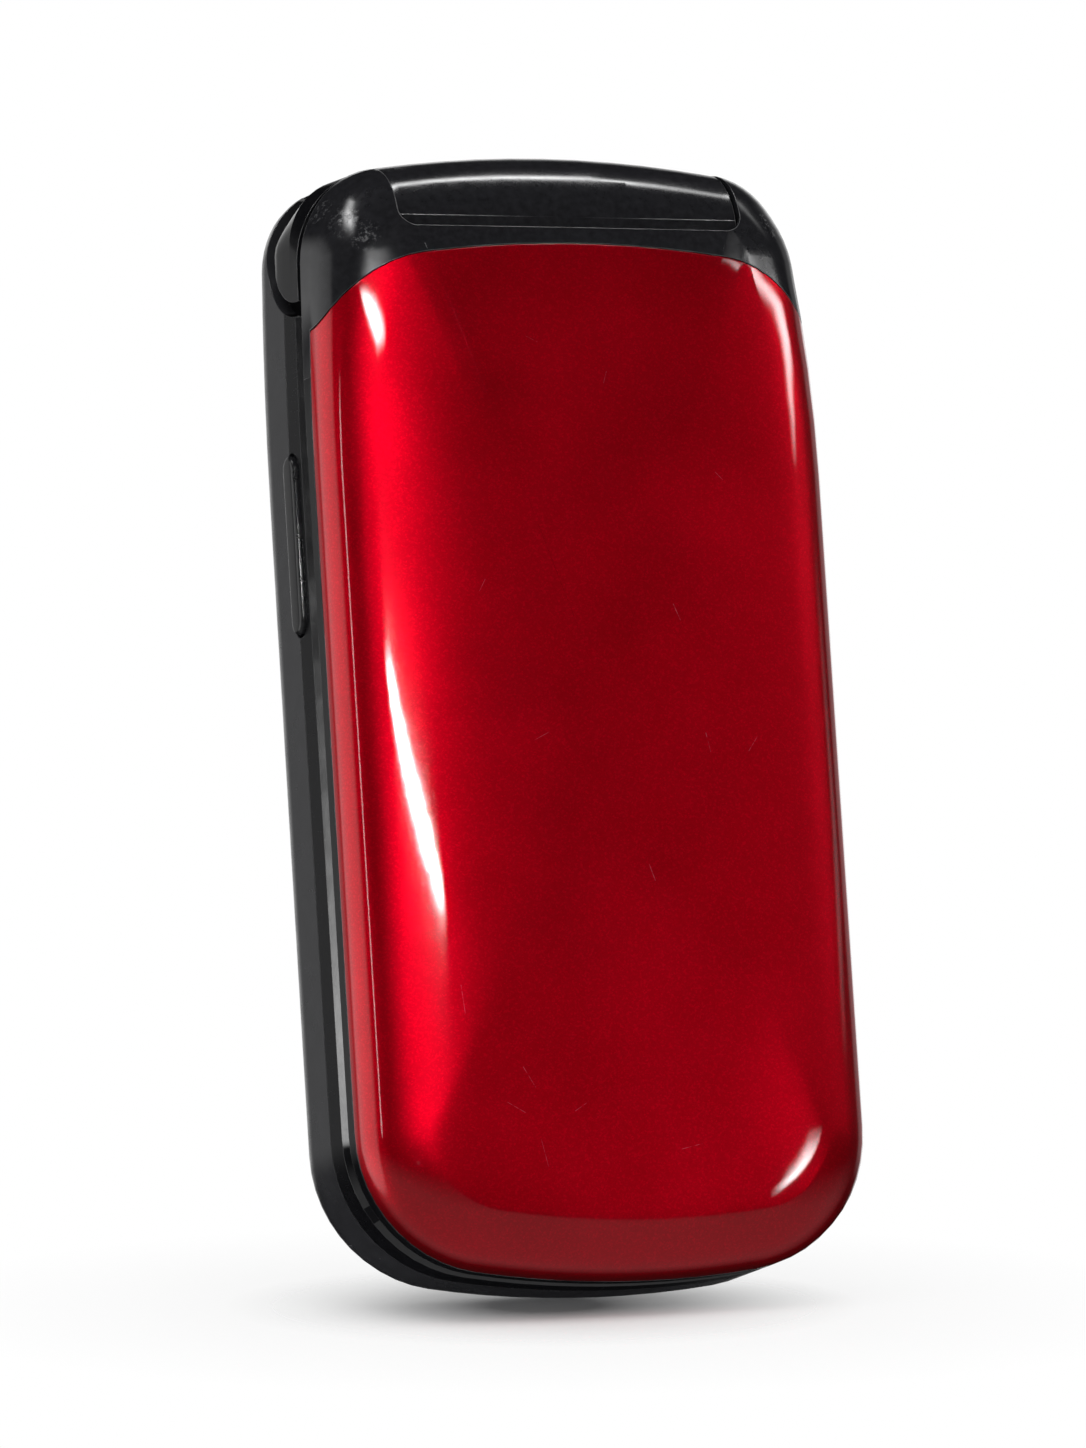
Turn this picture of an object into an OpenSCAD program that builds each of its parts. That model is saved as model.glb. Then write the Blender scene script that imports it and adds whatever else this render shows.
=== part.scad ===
// Clamshell mobile phone, lying closed on its back.
// +X is the right side seen from the lid, +Y points at the hinge end, +Z goes up through the lid.

/* [Body] */
// Length of the closed phone
body_l = 86; // [84:0.5:90]
// Width of the closed phone
body_w = 40.5; // [40.5:0.5:43]
// Thickness at the crown of the lid
body_t = 18.9; // [18.6:0.1:20.5]
// Height of the keypad face above the back
base_h = 11; // [11:0.1:11.6]
// Gap between the keypad face and the closed lid
lid_gap = 0.4; // [0.35:0.05:0.6]
// Radius of the end arc at the hinge end, seen from the lid
hinge_end_r = 90; // [75:1:120]
// Radius of the end arc at the far end
far_end_r = 78; // [65:1:110]
// Corner radius at the hinge end
hinge_corner_r = 7.5; // [7:0.5:9]
// Corner radius at the far end
far_corner_r = 10.5; // [9.5:0.5:12]

/* [Shells] */
// Wall of the moulded shells
wall = 1.1; // [0.9:0.05:1.2]
// Inset of the rounding round the back
back_round = 3.75; // [3.25:0.25:4.5]
// Height of the rounding round the back
back_round_h = 4.5; // [4:0.25:5.5]
// Height of the back shell's rim
shell_h = 8.1; // [7.9:0.1:8.2]
// Bevel along the edges that face each other between lid and base
edge_bevel = 0.5; // [0.3:0.05:0.7]
// Height of the lid frame's rim below the lid cover
rim_h = 1.7; // [1.5:0.1:2]
// Exponent of the lid cover's crowned section
crown_p = 3; // [2.4:0.1:3.6]
// Distance from the hinge end to the lid cover's top edge
cover_back = 7.9; // [7.6:0.1:8.2]
// Corner radius of the lid cover beside the hinge ears
cover_corner_r = 9.5; // [8.5:0.5:10.5]
// Gap along the seams between shells
seam = 0.08; // [0.05:0.01:0.12]

/* [Hinge] */
// Radius of the hinge barrel on the base
barrel_r = 5.6; // [5.4:0.05:5.7]
// Half length of the barrel, where the ears begin
barrel_half = 13.7; // [13.2:0.1:14.2]
// Clearance between the surfaces that turn past each other
turn_gap = 0.2; // [0.15:0.05:0.3]
// Wall of the lid above the barrel
lip_t = 0.7; // [0.6:0.05:0.8]
// How far the lid's lip stops short of the hinge axis
lip_back = 1; // [0.7:0.1:1.2]
// How far the lid opens, in degrees
open_angle = 155; // [140:1:157]
// Radius of the friction cam unit
cam_r = 2.5; // [2.2:0.1:2.8]
// Length of the friction cam unit
cam_l = 12; // [10:0.5:13]
// Radius of the cam unit's turning shaft
cam_shaft_r = 1.2; // [1:0.1:1.4]
// Radius of the cam's drive head in the ear
cam_head_r = 2; // [1.8:0.1:2.3]
// Outer radius of the hollow sleeve on the cable side
sleeve_r = 2.6; // [2.4:0.1:2.8]
// Outer radius of the bush round the sleeve
bush_r = 3.4; // [3.2:0.1:3.6]
// Radial clearance of a running fit
run_fit = 0.05; // [0.03:0.01:0.08]

/* [Keypad] */
// Width of a number key
key_w = 11; // [10:0.2:11]
// Length of a number key
key_l = 7.2; // [6:0.2:7.4]
// Distance between the columns of keys
key_pitch_x = 12.2; // [12:0.1:12.3]
// Distance between the rows of keys
key_pitch_y = 8.2; // [8.2:0.1:8.4]
// Distance from the far end to the lowest row
key_row_y = 11.9; // [11.8:0.1:12.1]
// How far the keys stand above the keypad face
key_proud = 0.2; // [0.1:0.05:0.25]
// How far a key travels
key_travel = 0.35; // [0.25:0.05:0.4]
// Clearance round a key in its hole
key_gap = 0.15; // [0.1:0.05:0.2]
// Outer radius of the navigation ring
nav_r = 8.2; // [7.5:0.1:8.4]
// Radius of the select key in the ring
select_r = 3.6; // [3:0.1:4]
// Distance from the hinge axis to the centre of the ring
nav_back = 22.2; // [21.8:0.1:22.6]

/* [Side controls] */
// Length of the volume rocker
rocker_l = 13.6; // [11:0.2:14]
// Width of the volume rocker
rocker_w = 2.1; // [1.8:0.1:2.2]
// How far the rocker stands out of the side
rocker_proud = 0.4; // [0.2:0.05:0.5]
// Distance from the hinge axis to the middle of the rocker
rocker_back = 23.8; // [23:0.1:24.5]
// Length of the charging socket's flap
flap_l = 11; // [10:0.5:12]
// Width of the charging socket's flap
flap_w = 2.8; // [2.6:0.1:3]
// Length of the charging socket's mouth
socket_l = 8.4; // [7:0.2:8.6]
// Width of the charging socket's mouth
socket_w = 1.9; // [1.6:0.1:2]

/* [Battery] */
// Width of the battery pack
pack_w = 33; // [31:0.5:33]
// Length of the battery pack
pack_l = 42; // [40:0.5:42.5]
// Thickness of the battery pack
pack_t = 4.4; // [4:0.1:4.5]
// Distance from the sides to the edges of the sliding cover over the pack
slide_inset = 2.85; // [2.75:0.05:2.95]
// Length of the sliding cover
slide_l = 62; // [61:0.5:63]
// Travel of the sliding cover from latched to free
slide_travel = 4; // [3:0.5:5]
// Thickness of the sliding cover
slide_t = 1; // [0.9:0.05:1.05]

/* [Display] */
// Width of the display window
window_w = 33; // [31:0.5:34]
// Length of the display window
window_l = 40; // [38:0.5:42]
// Thickness of the display window
window_t = 0.8; // [0.6:0.05:0.85]
// Width of the display module
module_w = 30; // [28:0.5:31]
// Length of the display module
module_l = 36; // [34:0.5:38]
// Thickness of the display module
module_t = 2.2; // [1.8:0.1:2.4]
// Distance from the far end to the middle of the display
display_y = 37; // [36:0.5:38]

/* [Inside] */
// Thickness of the main board
board_t = 1; // [0.8:0.05:1.05]
// Radius of the ringer speaker
speaker_r = 6.2; // [5.5:0.1:6.4]
// Height of the ringer speaker
speaker_h = 3.2; // [2.8:0.1:3.4]
// Radius of the vibration motor
motor_r = 2; // [1.8:0.1:2.1]
// Length of the vibration motor's can
motor_l = 8; // [7:0.5:8]
// Radius of a screw's head
head_r = 1.15; // [1:0.05:1.2]
// Radius of a screw's shank
shank_r = 0.6; // [0.5:0.05:0.7]

/* [Hidden] */
$fn = 48;
key_names = ["key_1", "key_2", "key_3", "key_4", "key_5", "key_6",
             "key_7", "key_8", "key_9", "key_star", "key_0", "key_hash"];

far = 200;                                   // longer than anything here
eps = 0.01;
clear = 0.1;                                 // clearance of an inside part in its seat
drawn_l = 86;                                // the layout's numbers belong to a phone of this length
drawn_w = 40.5;                              // and this width, and keep their share of the real ones
along = body_l / drawn_l;
across = body_w / drawn_w;
half_w = body_w / 2;
half_l = body_l / 2;
barrel_x = barrel_half * across;
hinge_y = half_l - barrel_r;
hinge_z = base_h + lid_gap / 2;
lid_z = base_h + lid_gap;
cover_z = lid_z + rim_h;
crown_h = body_t - cover_z;
swing_r = barrel_r + turn_gap;               // between the ears nothing of the lid is nearer to the axis
lip_r = swing_r + lip_t;                     // outer face of the lid over the axis
pocket_r = lip_r + turn_gap;                 // the ears turn inside this radius
ear_x = barrel_x + turn_gap;                 // inner face of an ear
lip_y = hinge_y - lip_back;
cover_top_y = half_l - cover_back;
taper_y = 18 * along;                        // the sides draw in from here to the hinge end
taper_l = 17 * along;
side_n = 4;                                  // points where a side draws in
corner_n = 11;                               // facets of a corner
end_n = 10;                                  // facets of an end arc

// ---- Outlines: lists of [centre x, centre y, radius, angle] ----

function arc_run(x, y, r, a0, a1, n, last) =
    [for (k = [0:n - (last ? 0 : 1)]) [x, y, r, a0 + (a1 - a0) * k / n]];

// Points along a straight side, up to the hinge end's corner at y
function side_run(x, y, r, a, steps, n) =
    [for (k = steps) if (n > 0) [x, taper_y + (y - taper_y) * k / n, r, a]];

// Rounded outline with curved ends, counter-clockwise from the right side
function outline(hw, y0, y1, end0, end1, cor0, cor1, n = side_n) =
    let (xt = hw - cor1, ct = y1 - end1, yt = ct + sqrt(pow(end1 - cor1, 2) - xt * xt),
         at = atan2(yt - ct, xt),
         xb = hw - cor0, cb = y0 + end0, yb = cb - sqrt(pow(end0 - cor0, 2) - xb * xb),
         ab = atan2(cb - yb, xb))
    concat(side_run(xt, yt, cor1, 0, [0:side_n - 1], n),
           arc_run(xt, yt, cor1, 0, at, corner_n, false),
           arc_run(0, ct, end1, at, 180 - at, end_n, false),
           arc_run(-xt, yt, cor1, 180 - at, 180, corner_n, true),
           side_run(-xt, yt, cor1, 180, [side_n - 1:-1:0], n),
           arc_run(-xb, yb, cor0, 180, 180 + ab, corner_n, false),
           arc_run(0, cb, end0, 180 + ab, 360 - ab, end_n, false),
           arc_run(xb, yb, cor0, 360 - ab, 360, corner_n, true));

// A ring at height z, set in by "side" at the sides, "hinge" and "low" at the two ends,
// and narrowed by "taper" towards the hinge end
function ring(form, side, hinge, low, z, taper = 0) =
    [for (q = form)
        let (s = sin(q[3]), c = cos(q[3]), i = side * (1 - s * s) + s * s * (s > 0 ? hinge : low),
             y = q[1] + (q[2] - i) * s, t = min(1.2, max(0, (y - taper_y) / taper_l)))
        [q[0] + (q[2] - i - taper * t * t) * c, y, z]];

// The same ring drawn in towards a centre on the middle line
function shrunk(points, k, yc, z) = [for (p = points) [p[0] * k, yc + (p[1] - yc) * k, z]];

function flat2d(points) = [for (p = points) [p[0], p[1]]];

module skin(rings) {
    n = len(rings[0]);
    m = len(rings);
    polyhedron(
        points = [for (r = rings) each r],
        faces = concat(
            [[for (i = [0:n - 1]) i]],
            [for (j = [0:m - 2], i = [0:n - 1])
                let (a = j * n + i, b = j * n + (i + 1) % n) each [[a, a + n, b + n], [a, b + n, b]]],
            [[for (i = [n - 1:-1:0]) (m - 1) * n + i]]));
}

// ---- Lid's outer form ----

lid_form = outline(half_w, -half_l, half_l, far_end_r, hinge_end_r, far_corner_r, hinge_corner_r);
seam_taper = 0.2;
function lid_taper(z) = seam_taper + 0.3 * max(0, z - lid_z);

// Inset of the crowned section at height z, for a skin t below the outer one
function crown_in(z, t) =
    t + (half_w - t) * (1 - pow(1 - pow(max(0, z - cover_z) / (crown_h - t), crown_p), 1 / crown_p));
function crown_z(i, t) =
    cover_z + (crown_h - t) * pow(1 - pow(max(0, 1 - (i - t) / (half_w - t)), crown_p), 1 / crown_p);

rise_0 = asin((cover_z - hinge_z) / lip_r);
rise_n = 8;
top_z = hinge_z + lip_r;
side_at_top = crown_in(top_z, 0);
crown_y = (side_at_top - barrel_r) / 2;
crown_steps = [0.96, 0.9, 0.82, 0.7, 0.55, 0.38, 0.2, 0.04];

function lid_rings() =
    let (rise = [for (k = [0:rise_n]) let (a = rise_0 + (90 - rise_0) * k / rise_n,
                                           z = hinge_z + lip_r * sin(a), s = crown_in(z, 0))
                 ring(lid_form, s, barrel_r * (1 - cos(a)), s, z, lid_taper(z))])
    concat([ring(lid_form, edge_bevel, 0, edge_bevel, lid_z, seam_taper),
            ring(lid_form, 0, 0, 0, lid_z + edge_bevel, lid_taper(lid_z + edge_bevel))],
           rise,
           [for (k = crown_steps) let (i = side_at_top + (half_w - side_at_top) * (1 - k))
               shrunk(rise[rise_n], k, crown_y, crown_z(i, 0))]);

module lid_body() skin(lid_rings());

// Hollow under the lid's skin, closed towards the barrel
cavity_top = hinge_y - pocket_r - wall;
cavity_form = outline(half_w, -half_l, cavity_top, far_end_r, far, far_corner_r, 10);
function cavity_rings() =
    concat([for (f = [0, 0.35, 0.6, 0.78, 0.9])
                let (z = cover_z + (crown_h - wall) * f, s = crown_in(z, wall))
                ring(cavity_form, s, f * 2, s, f == 0 ? lid_z - 1 : z, lid_taper(z))],
           [ring(cavity_form, 9, 5, 9, body_t - 2 * wall + 0.3, lid_taper(body_t))]);
module lid_cavity() skin(cavity_rings());

// Outline of the red cover, "grow" wider all round
function cover_outline(grow) =
    flat2d(ring(outline(half_w + 1, -half_l - 1, cover_top_y, far_end_r, hinge_end_r,
                        far_corner_r, cover_corner_r + 1, 0), -grow, -grow, -grow, 0));
module cover_zone(grow) linear_extrude(far) polygon(cover_outline(grow));

module along_x(x0, x1, r) translate([x0, hinge_y, hinge_z]) rotate([0, 90, 0]) cylinder(r = r, h = x1 - x0);
module both_sides() {
    children();
    mirror([1, 0, 0]) children();
}
module block(x0, x1, y0, y1, z0, z1) translate([x0, y0, z0]) cube([x1 - x0, y1 - y0, z1 - z0]);
module rounded(w, l, r) {
    square([w - 2 * r, l], center = true);
    square([w, l - 2 * r], center = true);
    for (x = [-1, 1], y = [-1, 1]) translate([x * (w / 2 - r), y * (l / 2 - r)]) circle(r = r);
}
module slab(x, y, z0, z1, w, l, r) translate([x, y, z0]) linear_extrude(z1 - z0) rounded(w, l, r);

// Notch between the ears, with rounded inner corners
notch_r = 1.4;
module notch() {
    block(-ear_x, ear_x, lip_y + notch_r, far, -far, far);
    block(-ear_x + notch_r, ear_x - notch_r, lip_y, far, -far, far);
    both_sides() translate([ear_x - notch_r, lip_y + notch_r, -far]) cylinder(r = notch_r, h = 2 * far);
    along_x(-ear_x, ear_x, swing_r);
}

// ---- Lid ----

ledge = 1.4;                                  // shoulder under the cover's edge
shoulder_y = cover_top_y - cover_corner_r;    // where the shoulder runs out beside the cover
core_x1 = half_w - 3.2;
core_y1 = hinge_y + 0.6;
core_z1 = hinge_z + 1.8;
drive_l = core_x1 - ear_x;                   // how far the cam head reaches into its ear
sleeve_in = core_x1 - ear_x - 0.35;                             // and the sleeve into the other
tail_y = hinge_y - 4.4;                        // the lid cable leaves the ear over this line
flex_t = 0.2;                                // ribbon cable
lid_coil_r = 1.7;                            // its turns round the hinge axis, lid side and base side
base_coil_r = 2.1;

post_x = [14.6 * across, 16 * across];        // screw posts at the far end and at the hinge end
post_y = [-half_l + 8 * along, hinge_y - 15 * along];
lid_posts = [for (k = [0, 1], x = [-post_x[k], post_x[k]]) [x, post_y[k]]];
post_r = 1.6;
post_h = 4.4;
plate_t = 1;                                  // lid frame's plate round the window
plate_z = lid_z + plate_t;
window_z1 = lid_z + 0.1 + window_t;
window_r = 2;                                // corners of the window
earpiece_y = -half_l + 8.2 * along;
mesh_w = 10;                                 // earpiece mesh
mesh_l = 2.1;
glass_w = window_w * across;
glass_l = window_l * along;
panel_w = module_w * across;
panel_l = module_l * along;
panel_y = display_y * along - half_l;
glass_frame = 1;                              // raised frame round the window
magnet_r = 1.5;
magnet_pos = [-11 * across, panel_y - glass_l / 2 - glass_frame - magnet_r - 1, plate_z + 0.05];
bumper_x = 11.5 * across;
bumper_t = 0.25;                             // rubber stops between lid and keypad face

module lid_cover() color("firebrick") {
    difference() {
        intersection() {
            lid_body();
            translate([0, 0, cover_z + seam]) cover_zone(0);
        }
        lid_cavity();
        along_x(-ear_x - notch_r, ear_x + notch_r, swing_r + 0.05);
        both_sides() along_x(ear_x, far, pocket_r);
    }
    for (p = lid_posts) translate([p[0], p[1], plate_z + 0.1]) difference() {
        cylinder(r = post_r, h = post_h);
        translate([0, 0, -eps]) cylinder(r = shank_r, h = 3);
    }
}

module ear_core(grow) both_sides()
    block(ear_x - grow, core_x1 + grow, cavity_top, core_y1 + grow, 8, core_z1 + grow);

module drive_seats() {
    along_x(-ear_x - drive_l - 2 * clear, -ear_x + 1, cam_head_r + run_fit);
    along_x(ear_x - 1, ear_x + sleeve_in + 7 * clear, sleeve_r + run_fit);
    block(core_x1 - 0.5, core_x1 + 0.4, tail_y - 0.2, hinge_y + 1.5, hinge_z - 0.8, hinge_z + 2.4);
    block(core_x1 - 0.5, core_x1 + 0.4, cavity_top - 3, tail_y, plate_z, hinge_z + 2.4);
}

module hinge_shoulder() color([0.1, 0.1, 0.11]) difference() {
    intersection() {
        lid_body();
        union() {
            block(-far, far, shoulder_y, far, cover_z, far);
            difference() {
                block(-far, far, shoulder_y, far, 0, cover_z + eps);
                linear_extrude(far) polygon(cover_outline(-ledge));
            }
        }
        union() {
            both_sides() block(ear_x, far, cavity_top + wall, far, hinge_z + seam / 2, far);
            block(-far, far, 0, cavity_top + wall + eps, lid_z, far);
            block(-ear_x - eps, ear_x + eps, 0, far, hinge_z + seam / 2, far);
        }
    }
    translate([0, 0, cover_z]) cover_zone(seam);
    lid_cavity();
    notch();
    ear_core(seam);
    drive_seats();
}

rear_corner_r = 5.5;                            // the ears' rear halves are squarer than their front halves
rear_form = outline(half_w, -half_l, half_l, far_end_r, hinge_end_r, far_corner_r, rear_corner_r);
module barrel_rear() both_sides() intersection() {
    difference() {
        along_x(ear_x, half_w, barrel_r);
        block(0, far, 0, far, hinge_z - seam / 2, far);
    }
    translate([0, 0, hinge_z - barrel_r])
        skin([for (k = [0:6]) let (a = -90 + 15 * k, e = 0.15 + 0.8 * pow(1 - cos(a), 3))
              ring(k == 6 ? lid_form : rear_form, e, barrel_r * (1 - cos(a)), 0, barrel_r * (1 + sin(a)),
                   seam_taper)]);
}

module lid_frame() color([0.13, 0.13, 0.14]) difference() {
    union() {
        difference() {
            intersection() {
                lid_body();
                block(-far, far, -far, cavity_top + wall, lid_z, cover_z - seam / 2);
            }
            intersection() {
                lid_cavity();
                block(-far, far, -far, far, plate_z, far);
            }
            difference() {
                block(-far, far, shoulder_y, far, 0, far);
                linear_extrude(far) polygon(cover_outline(-ledge - seam));
            }
        }
        barrel_rear();
        intersection() {
            ear_core(0);
            union() {
                along_x(-far, far, barrel_r - 1);
                block(-far, far, 0, hinge_y, lid_z, far);
            }
        }
        difference() {
            slab(0, panel_y, window_z1 + 0.05, plate_z + 1.6,
                 glass_w + 2 * glass_frame, glass_l + 2 * glass_frame, 0.8);
            slab(0, panel_y, 0, far, panel_w + 2 * clear, panel_l + 2 * clear, 0.2);
        }
    }
    slab(0, panel_y, 0, window_z1 + 0.05, glass_w + 2 * clear, glass_l + 2 * clear, window_r + clear);
    slab(0, earpiece_y, 0, far, 8, 1.2, 0.5);
    slab(0, earpiece_y, 0, lid_z + 0.4, mesh_w + 2 * clear, mesh_l + 2 * clear, 1);
    for (p = lid_posts) translate([p[0], p[1], 0]) {
        cylinder(r = head_r + 0.15, h = plate_z - 0.3);
        cylinder(r = shank_r + clear, h = far);
    }
    drive_seats();
}

module display_window() color([0.2, 0.22, 0.25])
    slab(0, panel_y, lid_z + 0.1, window_z1, glass_w, glass_l, window_r);

module display_module() color("silver") {
    z = plate_z + 0.1;
    slab(0, panel_y, z, z + module_t, panel_w, panel_l, 0.3);
}

module lid_board() color("seagreen") {
    z = plate_z + 0.1 + module_t + 0.1;
    difference() {
        slab(0, panel_y, z, z + 0.6, panel_w + 1, panel_l + 8, 1);
        slab(0, panel_y - panel_l / 2 - 3, 0, far, 9, 1.6, 0.5);
    }
}

module earpiece() color("dimgray") {
    slab(0, earpiece_y, plate_z + 0.05, plate_z + 1.8, 12, 6.6, 1.5);
    slab(0, earpiece_y, plate_z + 1.8 - eps, plate_z + 2.3, 9, 4.6, 1);
}
module earpiece_mesh() color("gray") difference() {
    slab(0, earpiece_y, lid_z + 0.08, lid_z + 0.38, mesh_w, mesh_l, 0.9);
    for (x = [-4:1:4]) slab(x, earpiece_y, 0, far, 0.5, 1, 0.2);
}

head_h = 0.7;
module screw(l) {
    cylinder(r = head_r, h = head_h);
    translate([0, 0, head_h - eps]) cylinder(r = shank_r, h = l);
}
module lid_screws() color("lightgray")
    for (p = lid_posts) translate([p[0], p[1], lid_z]) difference() {
        screw(2.4);
        translate([0, 0, -eps]) cylinder(r = 0.4, h = 0.4, $fn = 6);
    }
module lid_bumpers() color([0.2, 0.2, 0.2])
    both_sides() slab(bumper_x, -half_l + 3.4, lid_z - bumper_t, lid_z, 4, 1.6, 0.7);
module lid_magnet() color("slategray") translate(magnet_pos) cylinder(r = magnet_r, h = 1.2);

module lid_flex() color("goldenrod") {
    difference() {
        along_x(flex_x0 + 1, core_x1 + 0.25, lid_coil_r);
        along_x(flex_x0, far, lid_coil_r - flex_t);
        block(0, far, hinge_y + 0.4, far, 0, hinge_z - 0.3);
    }
    x = core_x1 - 0.15;
    block(x, x + flex_t, tail_y, hinge_y + 0.6, hinge_z - 0.5, hinge_z + 1.8);
    block(x, x + flex_t, cavity_top - 2, tail_y + eps, plate_z + 0.05, hinge_z + 1.8);
}

// ---- Hinge ----

bore_split = -1;                              // the cam's bore ends and the cable's begins here
barrel_n = 16;                                // facets of the barrel's rear half
barrel_plan = outline(half_w, -half_l, half_l, far_end_r, hinge_end_r,
                      far_corner_r, hinge_corner_r + 0.5, 0);
// Round towards the lid, and bowed like the end of the phone towards the rear
module barrel_form() {
    difference() {
        along_x(-barrel_x, barrel_x, barrel_r);
        block(-far, far, hinge_y, far, 0, far);
    }
    intersection() {
        skin([for (k = [0:barrel_n]) let (a = -90 + 180 * k / barrel_n)
            ring(barrel_plan, 0, barrel_r * (1 - cos(a)), 0, hinge_z + barrel_r * sin(a))]);
        block(-barrel_x, barrel_x, hinge_y, far, 0, far);
    }
}
foot_y0 = hinge_y - barrel_r + 0.1;
foot_y1 = hinge_y - 3.2;
foot_x = 12.4 * across;
foot_screw = [9 * across, (foot_y0 + foot_y1) / 2];
cam_x0 = -barrel_x;
cam_x1 = cam_x0 + cam_l * across;
flex_x0 = 2;
flex_x1 = barrel_x - 5;
module hinge_barrel() color([0.1, 0.1, 0.11]) difference() {
    union() {
        barrel_form();
        block(-foot_x, foot_x, foot_y0, foot_y1, floor_gap + wall, hinge_z - 3);
    }
    along_x(cam_x0 - 1, cam_x1 + 0.1, cam_r + 0.02);
    along_x(bore_split, barrel_x + 1, bush_r + 0.02);
    block(flex_x0 - 0.3, flex_x1 + 0.3, 0, hinge_y, hinge_z - 2.5, hinge_z - 1.6);
    both_sides() translate([foot_screw[0], foot_screw[1], 0]) cylinder(r = shank_r, h = 4.4);
}
module cam_unit() color("silver") difference() {
    along_x(cam_x0 + 0.02, cam_x1, cam_r);
    along_x(cam_x0 - 1, cam_x1 - 1.5, cam_shaft_r + run_fit);
}
module cam_head() color("gray") {
    along_x(-ear_x - drive_l, -ear_x - 0.02, cam_head_r);
    along_x(-ear_x - 0.1, cam_x1 - 2, cam_shaft_r);
}
module hinge_sleeve() color("silver") difference() {
    along_x(flex_x1 + 0.2, ear_x + sleeve_in, sleeve_r);
    along_x(0, far, sleeve_r - 0.4);
}
module hinge_bush() color("ivory") difference() {
    along_x(flex_x1 + 0.3, barrel_x - 0.02, bush_r);
    along_x(0, far, sleeve_r + run_fit);
}

// ---- Base ----

base_taper = 0.4;
base_form = outline(half_w, -half_l, half_l, far_end_r, hinge_end_r, far_corner_r, rear_corner_r + 0.5);
floor_gap = 0.2;
plate_in = base_h - 1;                        // underside of the keypad face
flange_z1 = plate_in - 0.1;
flange_t = 0.45;
flange_z0 = flange_z1 - flange_t;
mat_z1 = flange_z0 - key_travel - 0.1;
mat_t = 0.4;
board_z1 = mat_z1 - mat_t - 0.65;
board_z0 = board_z1 - board_t;
pack_z0 = slide_t + 0.3;
bay_floor = pack_z0 + pack_t + 0.15;
bay_t = 0.6;                                  // floor over the pack, and the walls at its ends
bay_wall_t = 0.8;
bay_y1 = hinge_y - 27.4 * along;
bay_y0 = bay_y1 - pack_l * along - 0.1;
slide_x = half_w - slide_inset;
slide_y1 = -half_l + slide_l * along;
tab_l = 5;
tab_at = [for (k = [0:2]) slide_y1 - 6 - 15 * along * k];   // upper ends of the cover's side tabs
slide_lip = 4;                                // the sliding cover wraps this far up the far end

module base_solid(t, top) skin(concat(
    [for (k = [0:6]) let (a = 15 * k, i = t + (back_round - t) * (1 - sin(a)))
        ring(base_form, i, i, i, t + (back_round_h - t) * (1 - cos(a)), base_taper)],
    [ring(base_form, t, t, t, top, base_taper)]));
module base_prism(t, z0, z1)
    translate([0, 0, z0]) linear_extrude(z1 - z0) polygon(flat2d(ring(base_form, t, t, t, 0, base_taper)));

// Room for the ears, the barrel and the opened lid's edge
module hinge_room() {
    both_sides() along_x(ear_x - turn_gap, far, pocket_r);
    along_x(-ear_x, ear_x, barrel_r + 0.05);
    translate([0, hinge_y, hinge_z]) rotate([180 - open_angle, 0, 0])
        block(-far, far, lip_back - 2 * turn_gap, far, hinge_z - body_t - turn_gap, 0);
    block(-far, far, hinge_y - 1, far, hinge_z - 4, far);
}

rocker_y = hinge_y - rocker_back * along;
rocker_half = rocker_l * along / 2;
switch_dy = 4.6 * along;                      // its two switches, from its middle
rocker_z = shell_h + 0.4;
module rocker_pill(x0, x1, grow) {
    r = rocker_w / 2 + grow;
    half = rocker_half - rocker_w / 2;
    translate([x0, rocker_y, rocker_z]) rotate([90, 0, 90]) linear_extrude(x1 - x0) {
        square([2 * half, 2 * r], center = true);
        for (y = [-half, half]) translate([y, 0]) circle(r = r);
    }
}

socket_x0 = half_w - 5.25;
socket_y = hinge_y - 20.2 * along;
socket_z = shell_h - 2.5;
flap_t = 0.65;
flap_x = half_w - flap_t;
flap_y1 = socket_y + flap_l / 2;
flap_pin = [half_w - flap_t / 2, flap_y1 - flap_t / 2];
module mouth(x0, grow)
    translate([x0, socket_y, socket_z]) rotate([90, 0, 90]) linear_extrude(far)
        rounded(socket_l + 2 * grow, socket_w + 2 * grow, 0.5);

sim_y = -half_l + 33 * along;                 // card holder over the pack
sim_w = 15 * across;
sim_l = 20 * along;
speaker_pos = [-9.5 * across, hinge_y - 12.4];
motor_pos = [socket_x0 - 12, hinge_y - 12.2, wall + floor_gap + motor_r + 0.1];
far_screw = [10 * across, -half_l + 3.4];
mic_pos = [5 * across, -half_l + 3.1];

module bay_wall(y)
    block(-slide_x + 0.3, slide_x - 0.3, y, y + bay_wall_t, slide_t + 0.25, bay_floor + eps);
module cover_tab(y, run, grow) both_sides()
    block(slide_x - 0.2, slide_x + 0.45 + grow, y - tab_l - run, y + grow,
          slide_t - 0.1 - grow, slide_t + 0.5 + grow);

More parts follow.
